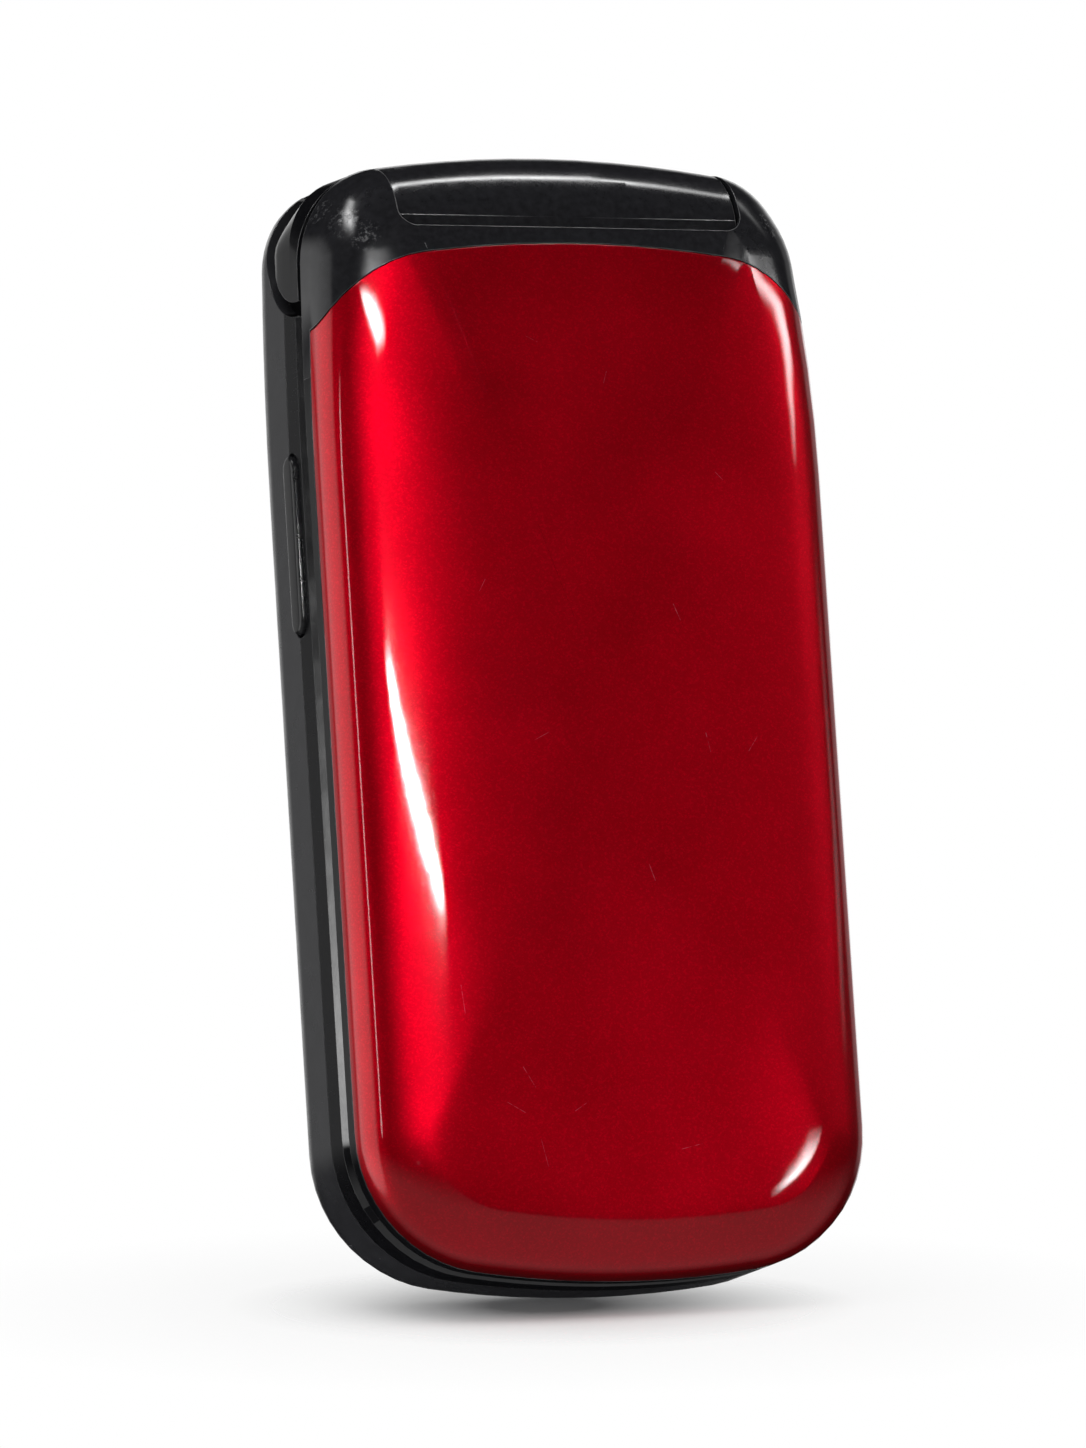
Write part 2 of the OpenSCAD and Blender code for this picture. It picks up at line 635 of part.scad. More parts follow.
module back_shell() color([0.2, 0.2, 0.21]) difference() {
    union() {
        difference() {
            base_solid(0, shell_h);
            base_solid(wall, shell_h + 1);
        }
        intersection() {
            base_solid(wall - 0.1, shell_h);
            union() {
                block(-far, far, -far, bay_y1 + clear + bay_wall_t, bay_floor, bay_floor + bay_t);
                bay_wall(bay_y0 - clear - bay_wall_t);
                difference() {
                    bay_wall(bay_y1 + clear);
                    block(-5, 5, 0, far, 0, bay_floor - 0.5);
                }
            }
        }
    }
    difference() {
        block(-slide_x - 0.1, slide_x + 0.1, -far, slide_y1 + 0.1, -far, slide_lip + 0.1);
        base_solid(wall + 0.05, shell_h);
    }
    for (y = tab_at) cover_tab(y, slide_travel + 2 * clear, clear);
    hinge_room();
    rocker_pill(-far, 0, 0.25);
    mouth(half_w - 3, 0.15);
    block(flap_x - 0.05, far, socket_y - flap_l / 2 - 0.1, flap_y1 + 0.1,
          socket_z - flap_w / 2 - 0.1, socket_z + flap_w / 2 + 0.1);
    both_sides() translate([foot_screw[0], foot_screw[1], 0]) {
        translate([0, 0, -eps]) cylinder(r = head_r + clear, h = head_h + 0.15);
        cylinder(r = shank_r + clear, h = 3);
    }
    both_sides() translate([far_screw[0], far_screw[1], bay_floor - 1])
        cylinder(r = shank_r + clear, h = 3);
    for (k = [-2:2]) translate([speaker_pos[0], speaker_pos[1] + 1.5 * k, -1]) linear_extrude(wall + 2)
        rounded(8.4 - 1.2 * abs(k), 0.7, 0.34);
    slab(0, sim_y, bay_floor - eps, far, sim_w + 1, sim_l + 1, 0.5);
}

module battery_cover() color([0.16, 0.16, 0.17]) {
    difference() {
        intersection() {
            base_solid(0, shell_h);
            block(-slide_x, slide_x, -far, slide_y1, -far, slide_lip);
        }
        base_solid(slide_t, shell_h + 1);
        translate([0, slide_y1 - 7, -17.55]) sphere(r = 18);
    }
    for (y = tab_at) cover_tab(y, 0, 0);
}

contact_at = [-3, 0, 3];
module battery() color([0.3, 0.3, 0.33]) difference() {
    slab(0, (bay_y0 + bay_y1) / 2, pack_z0, pack_z0 + pack_t, pack_w * across, pack_l * along, 1.2);
    for (x = contact_at) block(x - 0.8, x + 0.8, bay_y1 - 0.35, far, pack_z0 + 1.4, pack_z0 + 3.4);
}

key_top = base_h + key_proud;
side_key_x = 13.6 * across;
side_key_w = 9 * across;
soft_key_l = 7.4 * along;
call_key_l = 7.6 * along;
clear_key_l = 4.6 * along;
ring_r = nav_r * min(along, across);
hub_r = select_r * min(along, across);
nav_y = hinge_y - nav_back * along;
soft_y = nav_y + 4.3 * along;
call_y = nav_y - 5.4 * along;
clear_y = nav_y - 13.4 * along;
function key_x(i) = (i % 3 - 1) * key_pitch_x * across;
function key_y(i) = -half_l + (key_row_y + (3 - floor(i / 3)) * key_pitch_y) * along;
// Every rectangular key: [x, y, width, length]
pads = concat([for (i = [0:11]) [key_x(i), key_y(i), key_w * across, key_l * along]],
              [for (y = [[soft_y, soft_key_l], [call_y, call_key_l]], x = [-side_key_x, side_key_x])
                  [x, y[0], side_key_w, y[1]]],
              [[0, clear_y, key_w * across, clear_key_l]]);
pad_r = 1.6;

module pad(i) {
    k = pads[i];
    color([0.18, 0.18, 0.19]) {
        slab(k[0], k[1], flange_z1 - eps, key_top, k[2], k[3], pad_r);
        slab(k[0], k[1], flange_z0, flange_z1, k[2] + 0.7, k[3] + 0.7, pad_r + 0.2);
    }
}
module nav_ring() color([0.22, 0.22, 0.23]) translate([0, nav_y, 0]) difference() {
    translate([0, 0, flange_z0]) cylinder(r = ring_r, h = key_top - flange_z0);
    cylinder(r = hub_r + key_gap, h = far);
}
module select_key() color([0.3, 0.3, 0.31])
    translate([0, nav_y, flange_z0]) cylinder(r = hub_r, h = key_top - flange_z0);

module front_housing() color([0.09, 0.09, 0.1]) {
    difference() {
        skin([ring(base_form, 0, 0, 0, shell_h + seam, base_taper),
              ring(base_form, 0, 0, 0, base_h - edge_bevel, base_taper),
              ring(base_form, edge_bevel, edge_bevel, edge_bevel, base_h, base_taper)]);
        base_prism(wall, 0, plate_in);
        hinge_room();
        rocker_pill(-far, 0, 0.25);
        for (k = pads) slab(k[0], k[1], 0, far, k[2] + 2 * key_gap, k[3] + 2 * key_gap, pad_r + key_gap);
        translate([0, nav_y, 0]) cylinder(r = ring_r + key_gap, h = far);
        translate([mic_pos[0], mic_pos[1], 0]) cylinder(r = 0.5, h = far);
    }
    both_sides() translate([far_screw[0], far_screw[1], bay_floor + bay_t + 0.05]) difference() {
        cylinder(r = boss_r, h = plate_in - bay_floor - bay_t);
        translate([0, 0, -eps]) cylinder(r = shank_r, h = 2.6);
    }
}

mat_y1 = nav_y + ring_r + 2.2;
nav_dome = (ring_r + hub_r) / 2 + 0.1;        // the ring's four domes, from its centre
dome_at = concat([for (k = pads) [k[0], k[1]]],
                 [for (d = [[0, 0], [0, -1], [0, 1], [-1, 0], [1, 0]]) [0, nav_y] + nav_dome * d]);
boss_r = 1.5;                                 // the far screws' bosses
mic_r = 1.5;
module side_notch()
    block(-far, -half_w + 3.1, rocker_y - rocker_half - 0.8, rocker_y + rocker_half + 0.8, 0, far);
module screw_room()
    both_sides() translate([far_screw[0], far_screw[1], 0]) cylinder(r = boss_r + 0.3, h = far);
module mic_room() translate([mic_pos[0], mic_pos[1], 0]) cylinder(r = mic_r + 0.4, h = far);
module keypad_mat() color("lightgray") {
    difference() {
        intersection() {
            base_prism(2, mat_z1 - mat_t, mat_z1);
            block(-far, far, -far, mat_y1, 0, far);
        }
        side_notch();
        screw_room();
        mic_room();
    }
    for (d = dome_at) translate([d[0], d[1], mat_z1 - mat_t - 0.2]) cylinder(r = 0.9, h = 0.2 + eps);
}
module dome_sheet() color("gainsboro") {
    difference() {
        intersection() {
            base_prism(2.4, board_z1 + 0.02, board_z1 + 0.14);
            block(-far, far, -far, mat_y1 - 0.4, 0, far);
        }
        side_notch();
        screw_room();
        mic_room();
    }
    for (d = dome_at) translate([d[0], d[1], board_z1 + 0.13]) cylinder(r1 = 2, r2 = 1.3, h = 0.24);
}
board_y1 = hinge_y - pocket_r - 0.3;
module main_board() color("darkgreen") difference() {
    intersection() {
        base_prism(wall + 0.5, board_z0, board_z1);
        block(-far, far, -far, board_y1, 0, far);
    }
    side_notch();
    screw_room();
}
can_w = 18 * across;                          // shielding can of 0.2 mm sheet
can_l = 14 * along;
can_at = [-7.5 * across, bay_y1 + 4.4 + can_l / 2];
can_h = 1.5;
can_t = 0.2;
module shield_can() color("lightsteelblue") difference() {
    slab(can_at[0], can_at[1], board_z0 - can_h, board_z0, can_w, can_l, 0.5);
    slab(can_at[0], can_at[1], board_z0 - can_h + can_t, far, can_w - 2 * can_t, can_l - 2 * can_t, 0.3);
}
module sim_holder() color("silver") difference() {
    slab(0, sim_y, bay_floor + 0.15, board_z0, sim_w, sim_l, 0.4);
    block(1 - sim_w / 2, sim_w / 2 - 1, sim_y - sim_l / 2 + 1.5, far, bay_floor + 0.35, board_z0 - 0.15);
}
module battery_contacts() color("black") {
    block(-4.6, 4.6, bay_y1 + 1, bay_y1 + 3.2, pack_z0 + 0.6, board_z0);
    for (x = contact_at) block(x - 0.5, x + 0.5, bay_y1 - 0.25, bay_y1 + 1.1, pack_z0 + 1.8, pack_z0 + 3);
}
module ringer_speaker() color("dimgray") translate([speaker_pos[0], speaker_pos[1], wall + floor_gap]) {
    cylinder(r = speaker_r, h = speaker_h - 0.8);
    cylinder(r = speaker_r - 1, h = speaker_h);
}
spin_r = 0.4;                                 // the motor's shaft
module vibration_motor() color("silver") translate(motor_pos) rotate([0, 90, 0]) {
    cylinder(r = motor_r, h = motor_l);
    cylinder(r = spin_r, h = motor_l + 3.6);
}
module vibration_weight() color("gray")
    translate([motor_pos[0] + motor_l + 0.3, motor_pos[1], motor_pos[2]]) rotate([0, 90, 0]) difference() {
        union() {
            cylinder(r = 0.9, h = 2.9);
            intersection() {
                cylinder(r = motor_r - 0.1, h = 2.9);
                block(0, far, -far, far, -far, far);
            }
        }
        translate([0, 0, -1]) cylinder(r = spin_r + run_fit, h = 5);
    }
module microphone() color("silver") translate([mic_pos[0], mic_pos[1], board_z1 + 0.02])
    cylinder(r = mic_r, h = plate_in - board_z1 - clear);
module charge_socket() color("gray") difference() {
    block(socket_x0, half_w - wall - 0.2, socket_y - socket_l / 2 - 0.5, socket_y + socket_l / 2 + 0.5,
          socket_z - socket_w / 2 - 0.4, board_z0);
    mouth(socket_x0 + 0.6, 0);
}
module socket_flap() color([0.17, 0.17, 0.18]) intersection() {
    base_solid(0, shell_h);
    union() {
        block(flap_x, far, socket_y - flap_l / 2, flap_pin[1],
              socket_z - flap_w / 2, socket_z + flap_w / 2);
        translate([flap_pin[0], flap_pin[1], socket_z - flap_w / 2]) cylinder(r = flap_t / 2, h = flap_w);
    }
}
module volume_rocker() color([0.14, 0.14, 0.15]) {
    rocker_pill(-half_w - rocker_proud, -half_w + wall + 0.4, 0);
    half = rocker_half + 0.3;
    block(-half_w + wall + 0.3, -half_w + wall + 0.7, rocker_y - half, rocker_y + half,
          rocker_z - rocker_w / 2 - 0.1, flange_z0 - key_travel - 0.1);
}
module rocker_board() color("seagreen") {
    x = -half_w + 2.5;
    block(x, x + 0.5, rocker_y - rocker_half + 0.2, rocker_y + rocker_half - 0.2, board_z0, mat_z1);
    for (y = [-switch_dy, switch_dy]) translate([x + eps, rocker_y + y, rocker_z - 0.4]) rotate([0, -90, 0])
        cylinder(r = 0.9, h = 0.4);
}
module antenna() color("goldenrod") intersection() {
    base_prism(2.6, 2.6, bay_floor - 0.02);
    block(-far_screw[0] + 2.5, far_screw[0] - 2.5, -far, bay_y0 - 1, 0, far);
}
module base_screws() color("lightgray") {
    both_sides() translate([foot_screw[0], foot_screw[1], 0.05]) screw(3);
    both_sides() translate([far_screw[0], far_screw[1], bay_floor - head_h - 0.02]) screw(3);
}
module base_flex() color("goldenrod") {
    difference() {
        along_x(flex_x0, flex_x1 - 0.4, base_coil_r);
        along_x(0, far, base_coil_r - flex_t);
        block(0, far, 0, hinge_y, hinge_z - 1.5, hinge_z);
    }
    z = hinge_z - base_coil_r;
    block(flex_x0, flex_x1 - 0.4, board_y1 - 2, hinge_y, z, z + flex_t);
    block(flex_x0, flex_x1 - 0.4, board_y1 - 2, board_y1 - 2 + flex_t, board_z1 + 0.02, z + flex_t);
}

lid_cover();
hinge_shoulder();
lid_frame();
display_window();
display_module();
lid_board();
earpiece();
earpiece_mesh();
lid_screws();
lid_bumpers();
lid_magnet();
lid_flex();
hinge_barrel();
cam_unit();
cam_head();
hinge_sleeve();
hinge_bush();
back_shell();
battery_cover();
battery();
front_housing();
keypad_mat();
dome_sheet();
main_board();
shield_can();
sim_holder();
battery_contacts();
ringer_speaker();
vibration_motor();
vibration_weight();
microphone();
charge_socket();
socket_flap();
volume_rocker();
rocker_board();
antenna();
base_screws();
base_flex();
nav_ring();
select_key();
pad(12);  // soft_key_left
pad(13);  // soft_key_right
pad(14);  // send_key
pad(15);  // end_key
pad(16);  // clear_key
for (i = [0:11]) pad(i);
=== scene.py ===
import math
import bpy
import numpy as np
from mathutils import Matrix, Vector
from mathutils.bvhtree import BVHTree


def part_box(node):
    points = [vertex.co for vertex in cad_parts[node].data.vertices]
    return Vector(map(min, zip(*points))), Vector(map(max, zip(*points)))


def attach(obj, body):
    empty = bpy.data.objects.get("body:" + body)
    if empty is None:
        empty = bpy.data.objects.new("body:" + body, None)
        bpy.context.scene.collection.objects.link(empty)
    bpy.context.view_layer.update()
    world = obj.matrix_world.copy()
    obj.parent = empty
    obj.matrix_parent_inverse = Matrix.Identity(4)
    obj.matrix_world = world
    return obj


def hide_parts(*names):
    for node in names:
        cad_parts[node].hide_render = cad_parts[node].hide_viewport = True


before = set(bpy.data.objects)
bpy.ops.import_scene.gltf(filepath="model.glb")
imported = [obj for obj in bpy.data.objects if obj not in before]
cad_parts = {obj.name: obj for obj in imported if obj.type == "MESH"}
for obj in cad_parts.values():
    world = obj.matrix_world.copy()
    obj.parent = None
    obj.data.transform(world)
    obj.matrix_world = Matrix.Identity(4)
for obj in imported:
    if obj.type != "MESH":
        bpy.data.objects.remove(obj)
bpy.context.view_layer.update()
mm = 0.001
print("phone frame loaded:", len(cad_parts), "nodes")

# the camera: its axes in the phone's frame, what it looks at and how far away it is
shot = {
    "back": (-0.375034, -0.16627, 0.911978),  # from the phone towards the camera
    "right": (0.926999, -0.062243, 0.369863),
    "up": (-0.004733, 0.984114, 0.177475),
    "aim": (0, 0, 9.45),  # mm
    "distance": 1039.7,  # mm
    "lens": 343.0, "sensor": 36,  # mm
    "shift": (-0.01351, -0.00064),
    "clip": (0.01, 20),  # metres
}
aimPoint = Vector(shot["aim"]) * mm


def shotDir(right, up, back):
    # a direction given as the camera sees it, turned into the phone's axes
    d = right * Vector(shot["right"]) + up * Vector(shot["up"]) + back * Vector(shot["back"])
    return d.normalized()


def addObject(name, data):
    piece = bpy.data.objects.new(name, data)
    bpy.context.scene.collection.objects.link(piece)
    return piece


def placeCamera():
    data = bpy.data.cameras.new("phoneCamera")
    data.lens, data.sensor_width = shot["lens"], shot["sensor"]
    data.shift_x, data.shift_y = shot["shift"]
    data.clip_start, data.clip_end = shot["clip"]
    cam = addObject("phoneCamera", data)
    axes = Matrix([shot["right"], shot["up"], shot["back"]]).transposed()
    spot = (Vector(shot["aim"]) + shot["distance"] * Vector(shot["back"])) * mm
    cam.matrix_world = Matrix.Translation(spot) @ axes.to_4x4()
    bpy.context.scene.camera = cam


placeCamera()
print("camera placed")

# shader helpers: each adds one node to a tree and gives back what comes out of it


def feed(tree, node, values):
    for socket, value in values.items():
        if isinstance(value, bpy.types.NodeSocket):
            tree.links.new(value, node.inputs[socket])
        else:
            node.inputs[socket].default_value = value


def put(tree, kind, values=None, **settings):
    node = tree.nodes.new(kind)
    for key, value in settings.items():
        setattr(node, key, value)
    feed(tree, node, values or {})
    return node


def startMaterial(name, values):
    mat = bpy.data.materials.new(name)
    mat.use_nodes = True
    shader = mat.node_tree.nodes["Principled BSDF"]
    feed(mat.node_tree, shader, values)
    return mat, mat.node_tree, shader


def emptyMaterial(name):
    mat, tree, _ = startMaterial(name, {})
    tree.nodes.clear()
    return mat, tree


def place(tree):
    return put(tree, "ShaderNodeTexCoord").outputs["Object"]


def noise(tree, scale, detail=3, rough=0.5, stretch=None):
    where = place(tree)
    if stretch:
        where = put(tree, "ShaderNodeMapping", {"Vector": where, "Scale": stretch}).outputs[0]
    return put(tree, "ShaderNodeTexNoise", {
        "Vector": where, "Scale": scale, "Detail": detail, "Roughness": rough}).outputs["Fac"]


def cells(tree, scale, uneven=1.0):
    return put(tree, "ShaderNodeTexVoronoi", {
        "Vector": place(tree), "Scale": scale, "Randomness": uneven}).outputs


def bricks(tree, scale, gap, first, second, mortar):
    return put(tree, "ShaderNodeTexBrick", {
        "Vector": place(tree), "Scale": scale, "Mortar Size": gap, "Color1": (*first, 1),
        "Color2": (*second, 1), "Mortar": (*mortar, 1)}).outputs["Color"]


def spread(tree, value, low, high, outLow=0.0, outHigh=1.0):
    return put(tree, "ShaderNodeMapRange", {
        "Value": value, "From Min": low, "From Max": high,
        "To Min": outLow, "To Max": outHigh}).outputs[0]


def blendColor(tree, factor, first, second):
    first, second = (c if isinstance(c, bpy.types.NodeSocket) else (*c, 1) for c in (first, second))
    return put(tree, "ShaderNodeMix", {0: factor, 6: first, 7: second}, data_type="RGBA").outputs[2]


def math2(tree, operation, first, second=0.0):
    return put(tree, "ShaderNodeMath", {0: first, 1: second}, operation=operation).outputs[0]


def times(tree, first, second):
    return math2(tree, "MULTIPLY", first, second)


def plus(tree, first, second):
    return math2(tree, "ADD", first, second)


def most(tree, first, second):
    return second if first is None else math2(tree, "MAXIMUM", first, second)


def vec(tree, operation, first, second=(0, 0, 0)):
    node = put(tree, "ShaderNodeVectorMath", {0: first, 1: second}, operation=operation)
    number = operation in ("DOT_PRODUCT", "DISTANCE", "LENGTH")
    return node.outputs["Value" if number else "Vector"]


def bumpFrom(tree, height, strength, depth, normal=None):
    values = {"Height": height, "Strength": strength, "Distance": depth}
    if normal is not None:
        values["Normal"] = normal
    return put(tree, "ShaderNodeBump", values).outputs[0]


def roundEdge(tree, radius):
    return put(tree, "ShaderNodeBevel", {"Radius": radius}, samples=6).outputs[0]


def scaled(color, share):
    return tuple(share * c for c in color)


def makeScratchGroup():
    # how near a point on the lid is to one straight hairline
    group = bpy.data.node_groups.new("hairline", "ShaderNodeTree")
    for name, kind in (("Point", "Vector"), ("Start", "Vector"), ("Run", "Vector"),
                       ("Half width", "Float")):
        group.interface.new_socket(name, in_out="INPUT", socket_type="NodeSocket" + kind)
    group.interface.new_socket("Mark", in_out="OUTPUT", socket_type="NodeSocketFloat")
    given = put(group, "NodeGroupInput").outputs
    off = vec(group, "SUBTRACT", vec(group, "MULTIPLY", given["Point"], (1, 1, 0)), given["Start"])
    along = vec(group, "DOT_PRODUCT", off, given["Run"])
    total = vec(group, "DOT_PRODUCT", given["Run"], given["Run"])
    reach = vec(group, "MULTIPLY", given["Run"], spread(group, along, 0.0, total))
    far = vec(group, "LENGTH", vec(group, "SUBTRACT", off, reach))
    put(group, "NodeGroupOutput", {"Mark": spread(group, far, 0.0, given["Half width"], 1.0, 0.0)})
    return group


scratchGroup = makeScratchGroup()


def scratchMarks(tree, marks):
    # marks are x, y, run x, run y, half width, all in mm on the face seen from the lid's side
    where, best = place(tree), None
    for x, y, runX, runY, half in marks:
        values = {"Point": where, "Start": (x * mm, y * mm, 0), "Run": (runX * mm, runY * mm, 0),
                  "Half width": half * mm}
        node = put(tree, "ShaderNodeGroup", values, node_tree=scratchGroup)
        best = most(tree, best, node.outputs[0])
    return best


# red lacquer: flakes under a clear coat
lidPaint = {
    "deep": (0.36, 0.0, 0.004), "bright": (0.86, 0.001, 0.018),
    "metal": 0.92, "rough": (0.34, 0.42), "coatRough": 0.03, "index": 1.5,
    "flakeScale": 8200, "flakeTilt": 0.3, "flakeDepth": 0.00002, "flakeShare": 0.34,
    "cloudScale": 90, "cloudShare": 0.25, "toneStart": 0.4, "smearScale": 150,
    "coatScale": 420, "coatWave": 0.006, "coatDepth": 0.0002, "edge": 0.00012,
    "scratchColor": (0.85, 0.35, 0.36), "scratchMix": 0.5, "breakScale": 2600,
    "scratches": [
        (5.7, 7.4, 0.5, -1.2, 0.05), (-6.2, -3.0, 1.2, 0.6, 0.035), (7.7, -2.4, 0.3, -1.4, 0.05),
        (12.0, -2.6, -0.8, -1.1, 0.03), (2.4, -12.4, 0.4, -1.2, 0.045),
        (-8.6, -27.6, 0.9, -1.5, 0.04), (-10.0, -30.2, 1.6, -0.9, 0.03),
        (-7.4, -33.0, 0.5, -2.0, 0.03), (-4.6, -30.9, 1.1, 0.7, 0.03),
        (-9.3, 9.2, -0.5, -0.9, 0.03), (-4.8, 27.9, 1.0, -0.5, 0.03),
        (1.6, 25.2, -0.3, -0.9, 0.03), (-13.1, -21.4, 0.2, -2.2, 0.03),
        (3.8, -33.8, 1.7, 0.4, 0.03), (9.9, 17.6, 0.6, -0.6, 0.03)],
}


def candyRed():
    p = lidPaint
    mat, tree, shader = startMaterial("candyRedLacquer", {
        "Metallic": p["metal"], "Specular IOR Level": 0.0, "IOR": p["index"],
        "Coat Weight": 1.0, "Coat Roughness": p["coatRough"], "Coat IOR": p["index"]})
    sparkle = put(tree, "ShaderNodeSeparateColor",
                  {0: cells(tree, p["flakeScale"])["Color"]}).outputs[0]
    cloud = spread(tree, noise(tree, p["cloudScale"], 4), 0.3, 0.7)
    fleck = times(tree, math2(tree, "POWER", sparkle, 3.0), p["flakeShare"])
    tone = plus(tree, times(tree, cloud, p["cloudShare"]), plus(tree, fleck, p["toneStart"]))
    paint = blendColor(tree, tone, p["deep"], p["bright"])
    broken = times(tree, scratchMarks(tree, p["scratches"]),
                   spread(tree, noise(tree, p["breakScale"], 2), 0.35, 0.6))
    color = blendColor(tree, times(tree, broken, p["scratchMix"]), paint, p["scratchColor"])
    wave = bumpFrom(tree, noise(tree, p["coatScale"], 2), p["coatWave"], p["coatDepth"],
                    roundEdge(tree, p["edge"]))
    feed(tree, shader, {
        "Base Color": color,
        "Normal": bumpFrom(tree, sparkle, p["flakeTilt"], p["flakeDepth"]),
        "Coat Normal": wave,
        "Roughness": spread(tree, noise(tree, p["smearScale"], 5), 0.35, 0.8, *p["rough"])})
    return mat


# glossy black: smeared, with fine hairlines, worn spots (on the shoulder also a painted highlight)
# and pale painted edge highlights
# worn spots are x, y, z and reach in mm; the shoulder's sit where its highlight falls and are
# partly a painted highlight
blackSkin = {
    "index": 1.5, "smearScale": 260, "hairScale": 900, "hairRough": 0.14,
    "speckScale": 1800, "speckLift": 1.7,
    "gritScale": 2100, "scuffSheenColor": (0.42, 0.42, 0.43), "scuffSheenMix": 0.5, "gritRough": 0.3,
    "edgeHighlightScale": 500, "edgeHighlightColor": (0.5, 0.5, 0.51), "waveScale": 700, "wave": 0.012,
    "waveDepth": 0.0001,
    "shoulderScuffsAndSheen": [(-17.6, 37.2, 15.6, 1.7), (-16.6, 35.9, 16.8, 1.5),
                     (17.2, 37.5, 16.0, 1.6), (-18.9, 38.6, 13.0, 1.4)],
    "wornBarrel": [(-12.6, 42.2, 13.6, 1.2), (12.4, 42.0, 13.6, 1.0), (2.0, 42.9, 12.0, 0.8)],
}


def smoothBlack(name, tint, roughRange, edge=0.00009, scuffsAndSheen=(), shine=0.5, edgeHighlightShare=0.55):
    p = blackSkin
    mat, tree, shader = startMaterial(name, {"Specular IOR Level": shine, "IOR": p["index"]})
    smear = spread(tree, noise(tree, p["smearScale"], 6, 0.62), 0.35, 0.75, *roughRange)
    hair = noise(tree, p["hairScale"], 4, 0.7, (1, 6, 1))
    rough = plus(tree, smear, spread(tree, hair, 0.62, 0.8, 0.0, p["hairRough"]))
    speck = spread(tree, noise(tree, p["speckScale"], 3), 0.3, 0.8)
    color = blendColor(tree, speck, tint, scaled(tint, p["speckLift"]))
    # pale specks at the worn spots: scuffs, and on the shoulder also a painted highlight
    if scuffsAndSheen:
        spots = None
        for x, y, z, reach in scuffsAndSheen:
            off = vec(tree, "DISTANCE", place(tree), (x * mm, y * mm, z * mm))
            spots = most(tree, spots, spread(tree, off, 0.0, reach * mm, 1.0, 0.0))
        grit = spread(tree, noise(tree, p["gritScale"], 6, 0.75), 0.52, 0.62)
        scuffSheen = times(tree, grit, spots)
        color = blendColor(tree, times(tree, scuffSheen, p["scuffSheenMix"]), color, p["scuffSheenColor"])
        rough = plus(tree, rough, times(tree, scuffSheen, p["gritRough"]))
    # pale lines along the edges: a painted edge highlight, broken up by noise
    soft = roundEdge(tree, edge)
    turn = vec(tree, "DOT_PRODUCT", soft, put(tree, "ShaderNodeNewGeometry").outputs["Normal"])
    edgeHighlightBreakup = spread(tree, noise(tree, p["edgeHighlightScale"], 5), 0.35, 0.65, 0.25, 1.0)
    paintedEdgeHighlight = times(tree, spread(tree, turn, 0.99, 0.9), edgeHighlightBreakup)
    feed(tree, shader, {
        "Base Color": blendColor(tree, times(tree, paintedEdgeHighlight, edgeHighlightShare), color, p["edgeHighlightColor"]),
        "Roughness": rough,
        "Normal": bumpFrom(tree, noise(tree, p["waveScale"], 3), p["wave"], p["waveDepth"], soft)})
    return mat


# satin plastic with a moulded grain
satinSkin = {"index": 1.48, "toneScale": 700, "toneLift": 1.35, "smearScale": 300,
             "grainScale": 5200, "grainDepth": 0.00003}


def satinPlastic(name, tint, rough, grain=0.15, edge=0.0001):
    p = satinSkin
    mat, tree, shader = startMaterial(name, {"Specular IOR Level": 0.5, "IOR": p["index"]})
    tone = spread(tree, noise(tree, p["toneScale"], 5), 0.3, 0.75)
    smear = noise(tree, p["smearScale"], 5, 0.6)
    skin = noise(tree, p["grainScale"], 2)
    feed(tree, shader, {
        "Base Color": blendColor(tree, tone, tint, scaled(tint, p["toneLift"])),
        "Roughness": spread(tree, smear, 0.35, 0.75, rough - 0.05, rough + 0.08),
        "Normal": bumpFrom(tree, skin, grain, p["grainDepth"], roundEdge(tree, edge))})
    return mat


metalSkin = {"lineScale": 1400, "line": 0.08, "lineDepth": 0.00003, "dull": 0.75,
             "edge": 0.00008}


def brushedMetal(name, tint, rough, stretch=(1, 22, 1)):
    p = metalSkin
    mat, tree, shader = startMaterial(name, {"Metallic": 1.0})
    lines = noise(tree, p["lineScale"], 4, 0.6, stretch)
    feed(tree, shader, {
        "Base Color": blendColor(tree, lines, scaled(tint, p["dull"]), tint),
        "Roughness": spread(tree, lines, 0.3, 0.7, rough - 0.06, rough + 0.1),
        "Normal": bumpFrom(tree, lines, p["line"], p["lineDepth"], roundEdge(tree, p["edge"]))})
    return mat


boardLook = {"tracks": ((0.012, 0.11, 0.035), (0.016, 0.15, 0.05)), "lines": (0.03, 0.2, 0.07),
             "trackScale": 260.0, "pads": (0.62, 0.48, 0.2), "padScale": 700.0, "rough": 0.4,
             "trackGap": 0.012, "edge": 0.00006}


def circuitBoard():
    p = boardLook
    mat, tree, shader = startMaterial("circuitBoard", {
        "Roughness": p["rough"], "Specular IOR Level": 0.5})
    tracks = bricks(tree, p["trackScale"], p["trackGap"], *p["tracks"], p["lines"])
    pads = spread(tree, cells(tree, p["padScale"], 0.35)["Distance"], 0.12, 0.08)
    feed(tree, shader, {
        "Base Color": blendColor(tree, pads, tracks, p["pads"]),
        "Normal": roundEdge(tree, p["edge"])})
    return mat


sheetSkin = {"toneScale": 500, "dull": 0.82, "smearScale": 900, "grainScale": 3000,
             "grain": 0.1, "grainDepth": 0.00003}


def softSheet(name, tint, rough, through):
    p = sheetSkin
    mat, tree, shader = startMaterial(name, {
        "Specular IOR Level": 0.4, "Subsurface Weight": through,
        "Subsurface Radius": (0.001, 0.001, 0.001)})
    tone, smear = noise(tree, p["toneScale"], 4), noise(tree, p["smearScale"], 4)
    feed(tree, shader, {
        "Base Color": blendColor(tree, tone, tint, scaled(tint, p["dull"])),
        "Roughness": spread(tree, smear, 0.3, 0.7, rough - 0.05, rough + 0.08),
        "Normal": bumpFrom(tree, noise(tree, p["grainScale"], 2), p["grain"], p["grainDepth"])})
    return mat


ribbonLook = {"film": (0.42, 0.2, 0.03), "copper": (0.22, 0.08, 0.015),
              "lineScale": 420.0, "rough": 0.3}


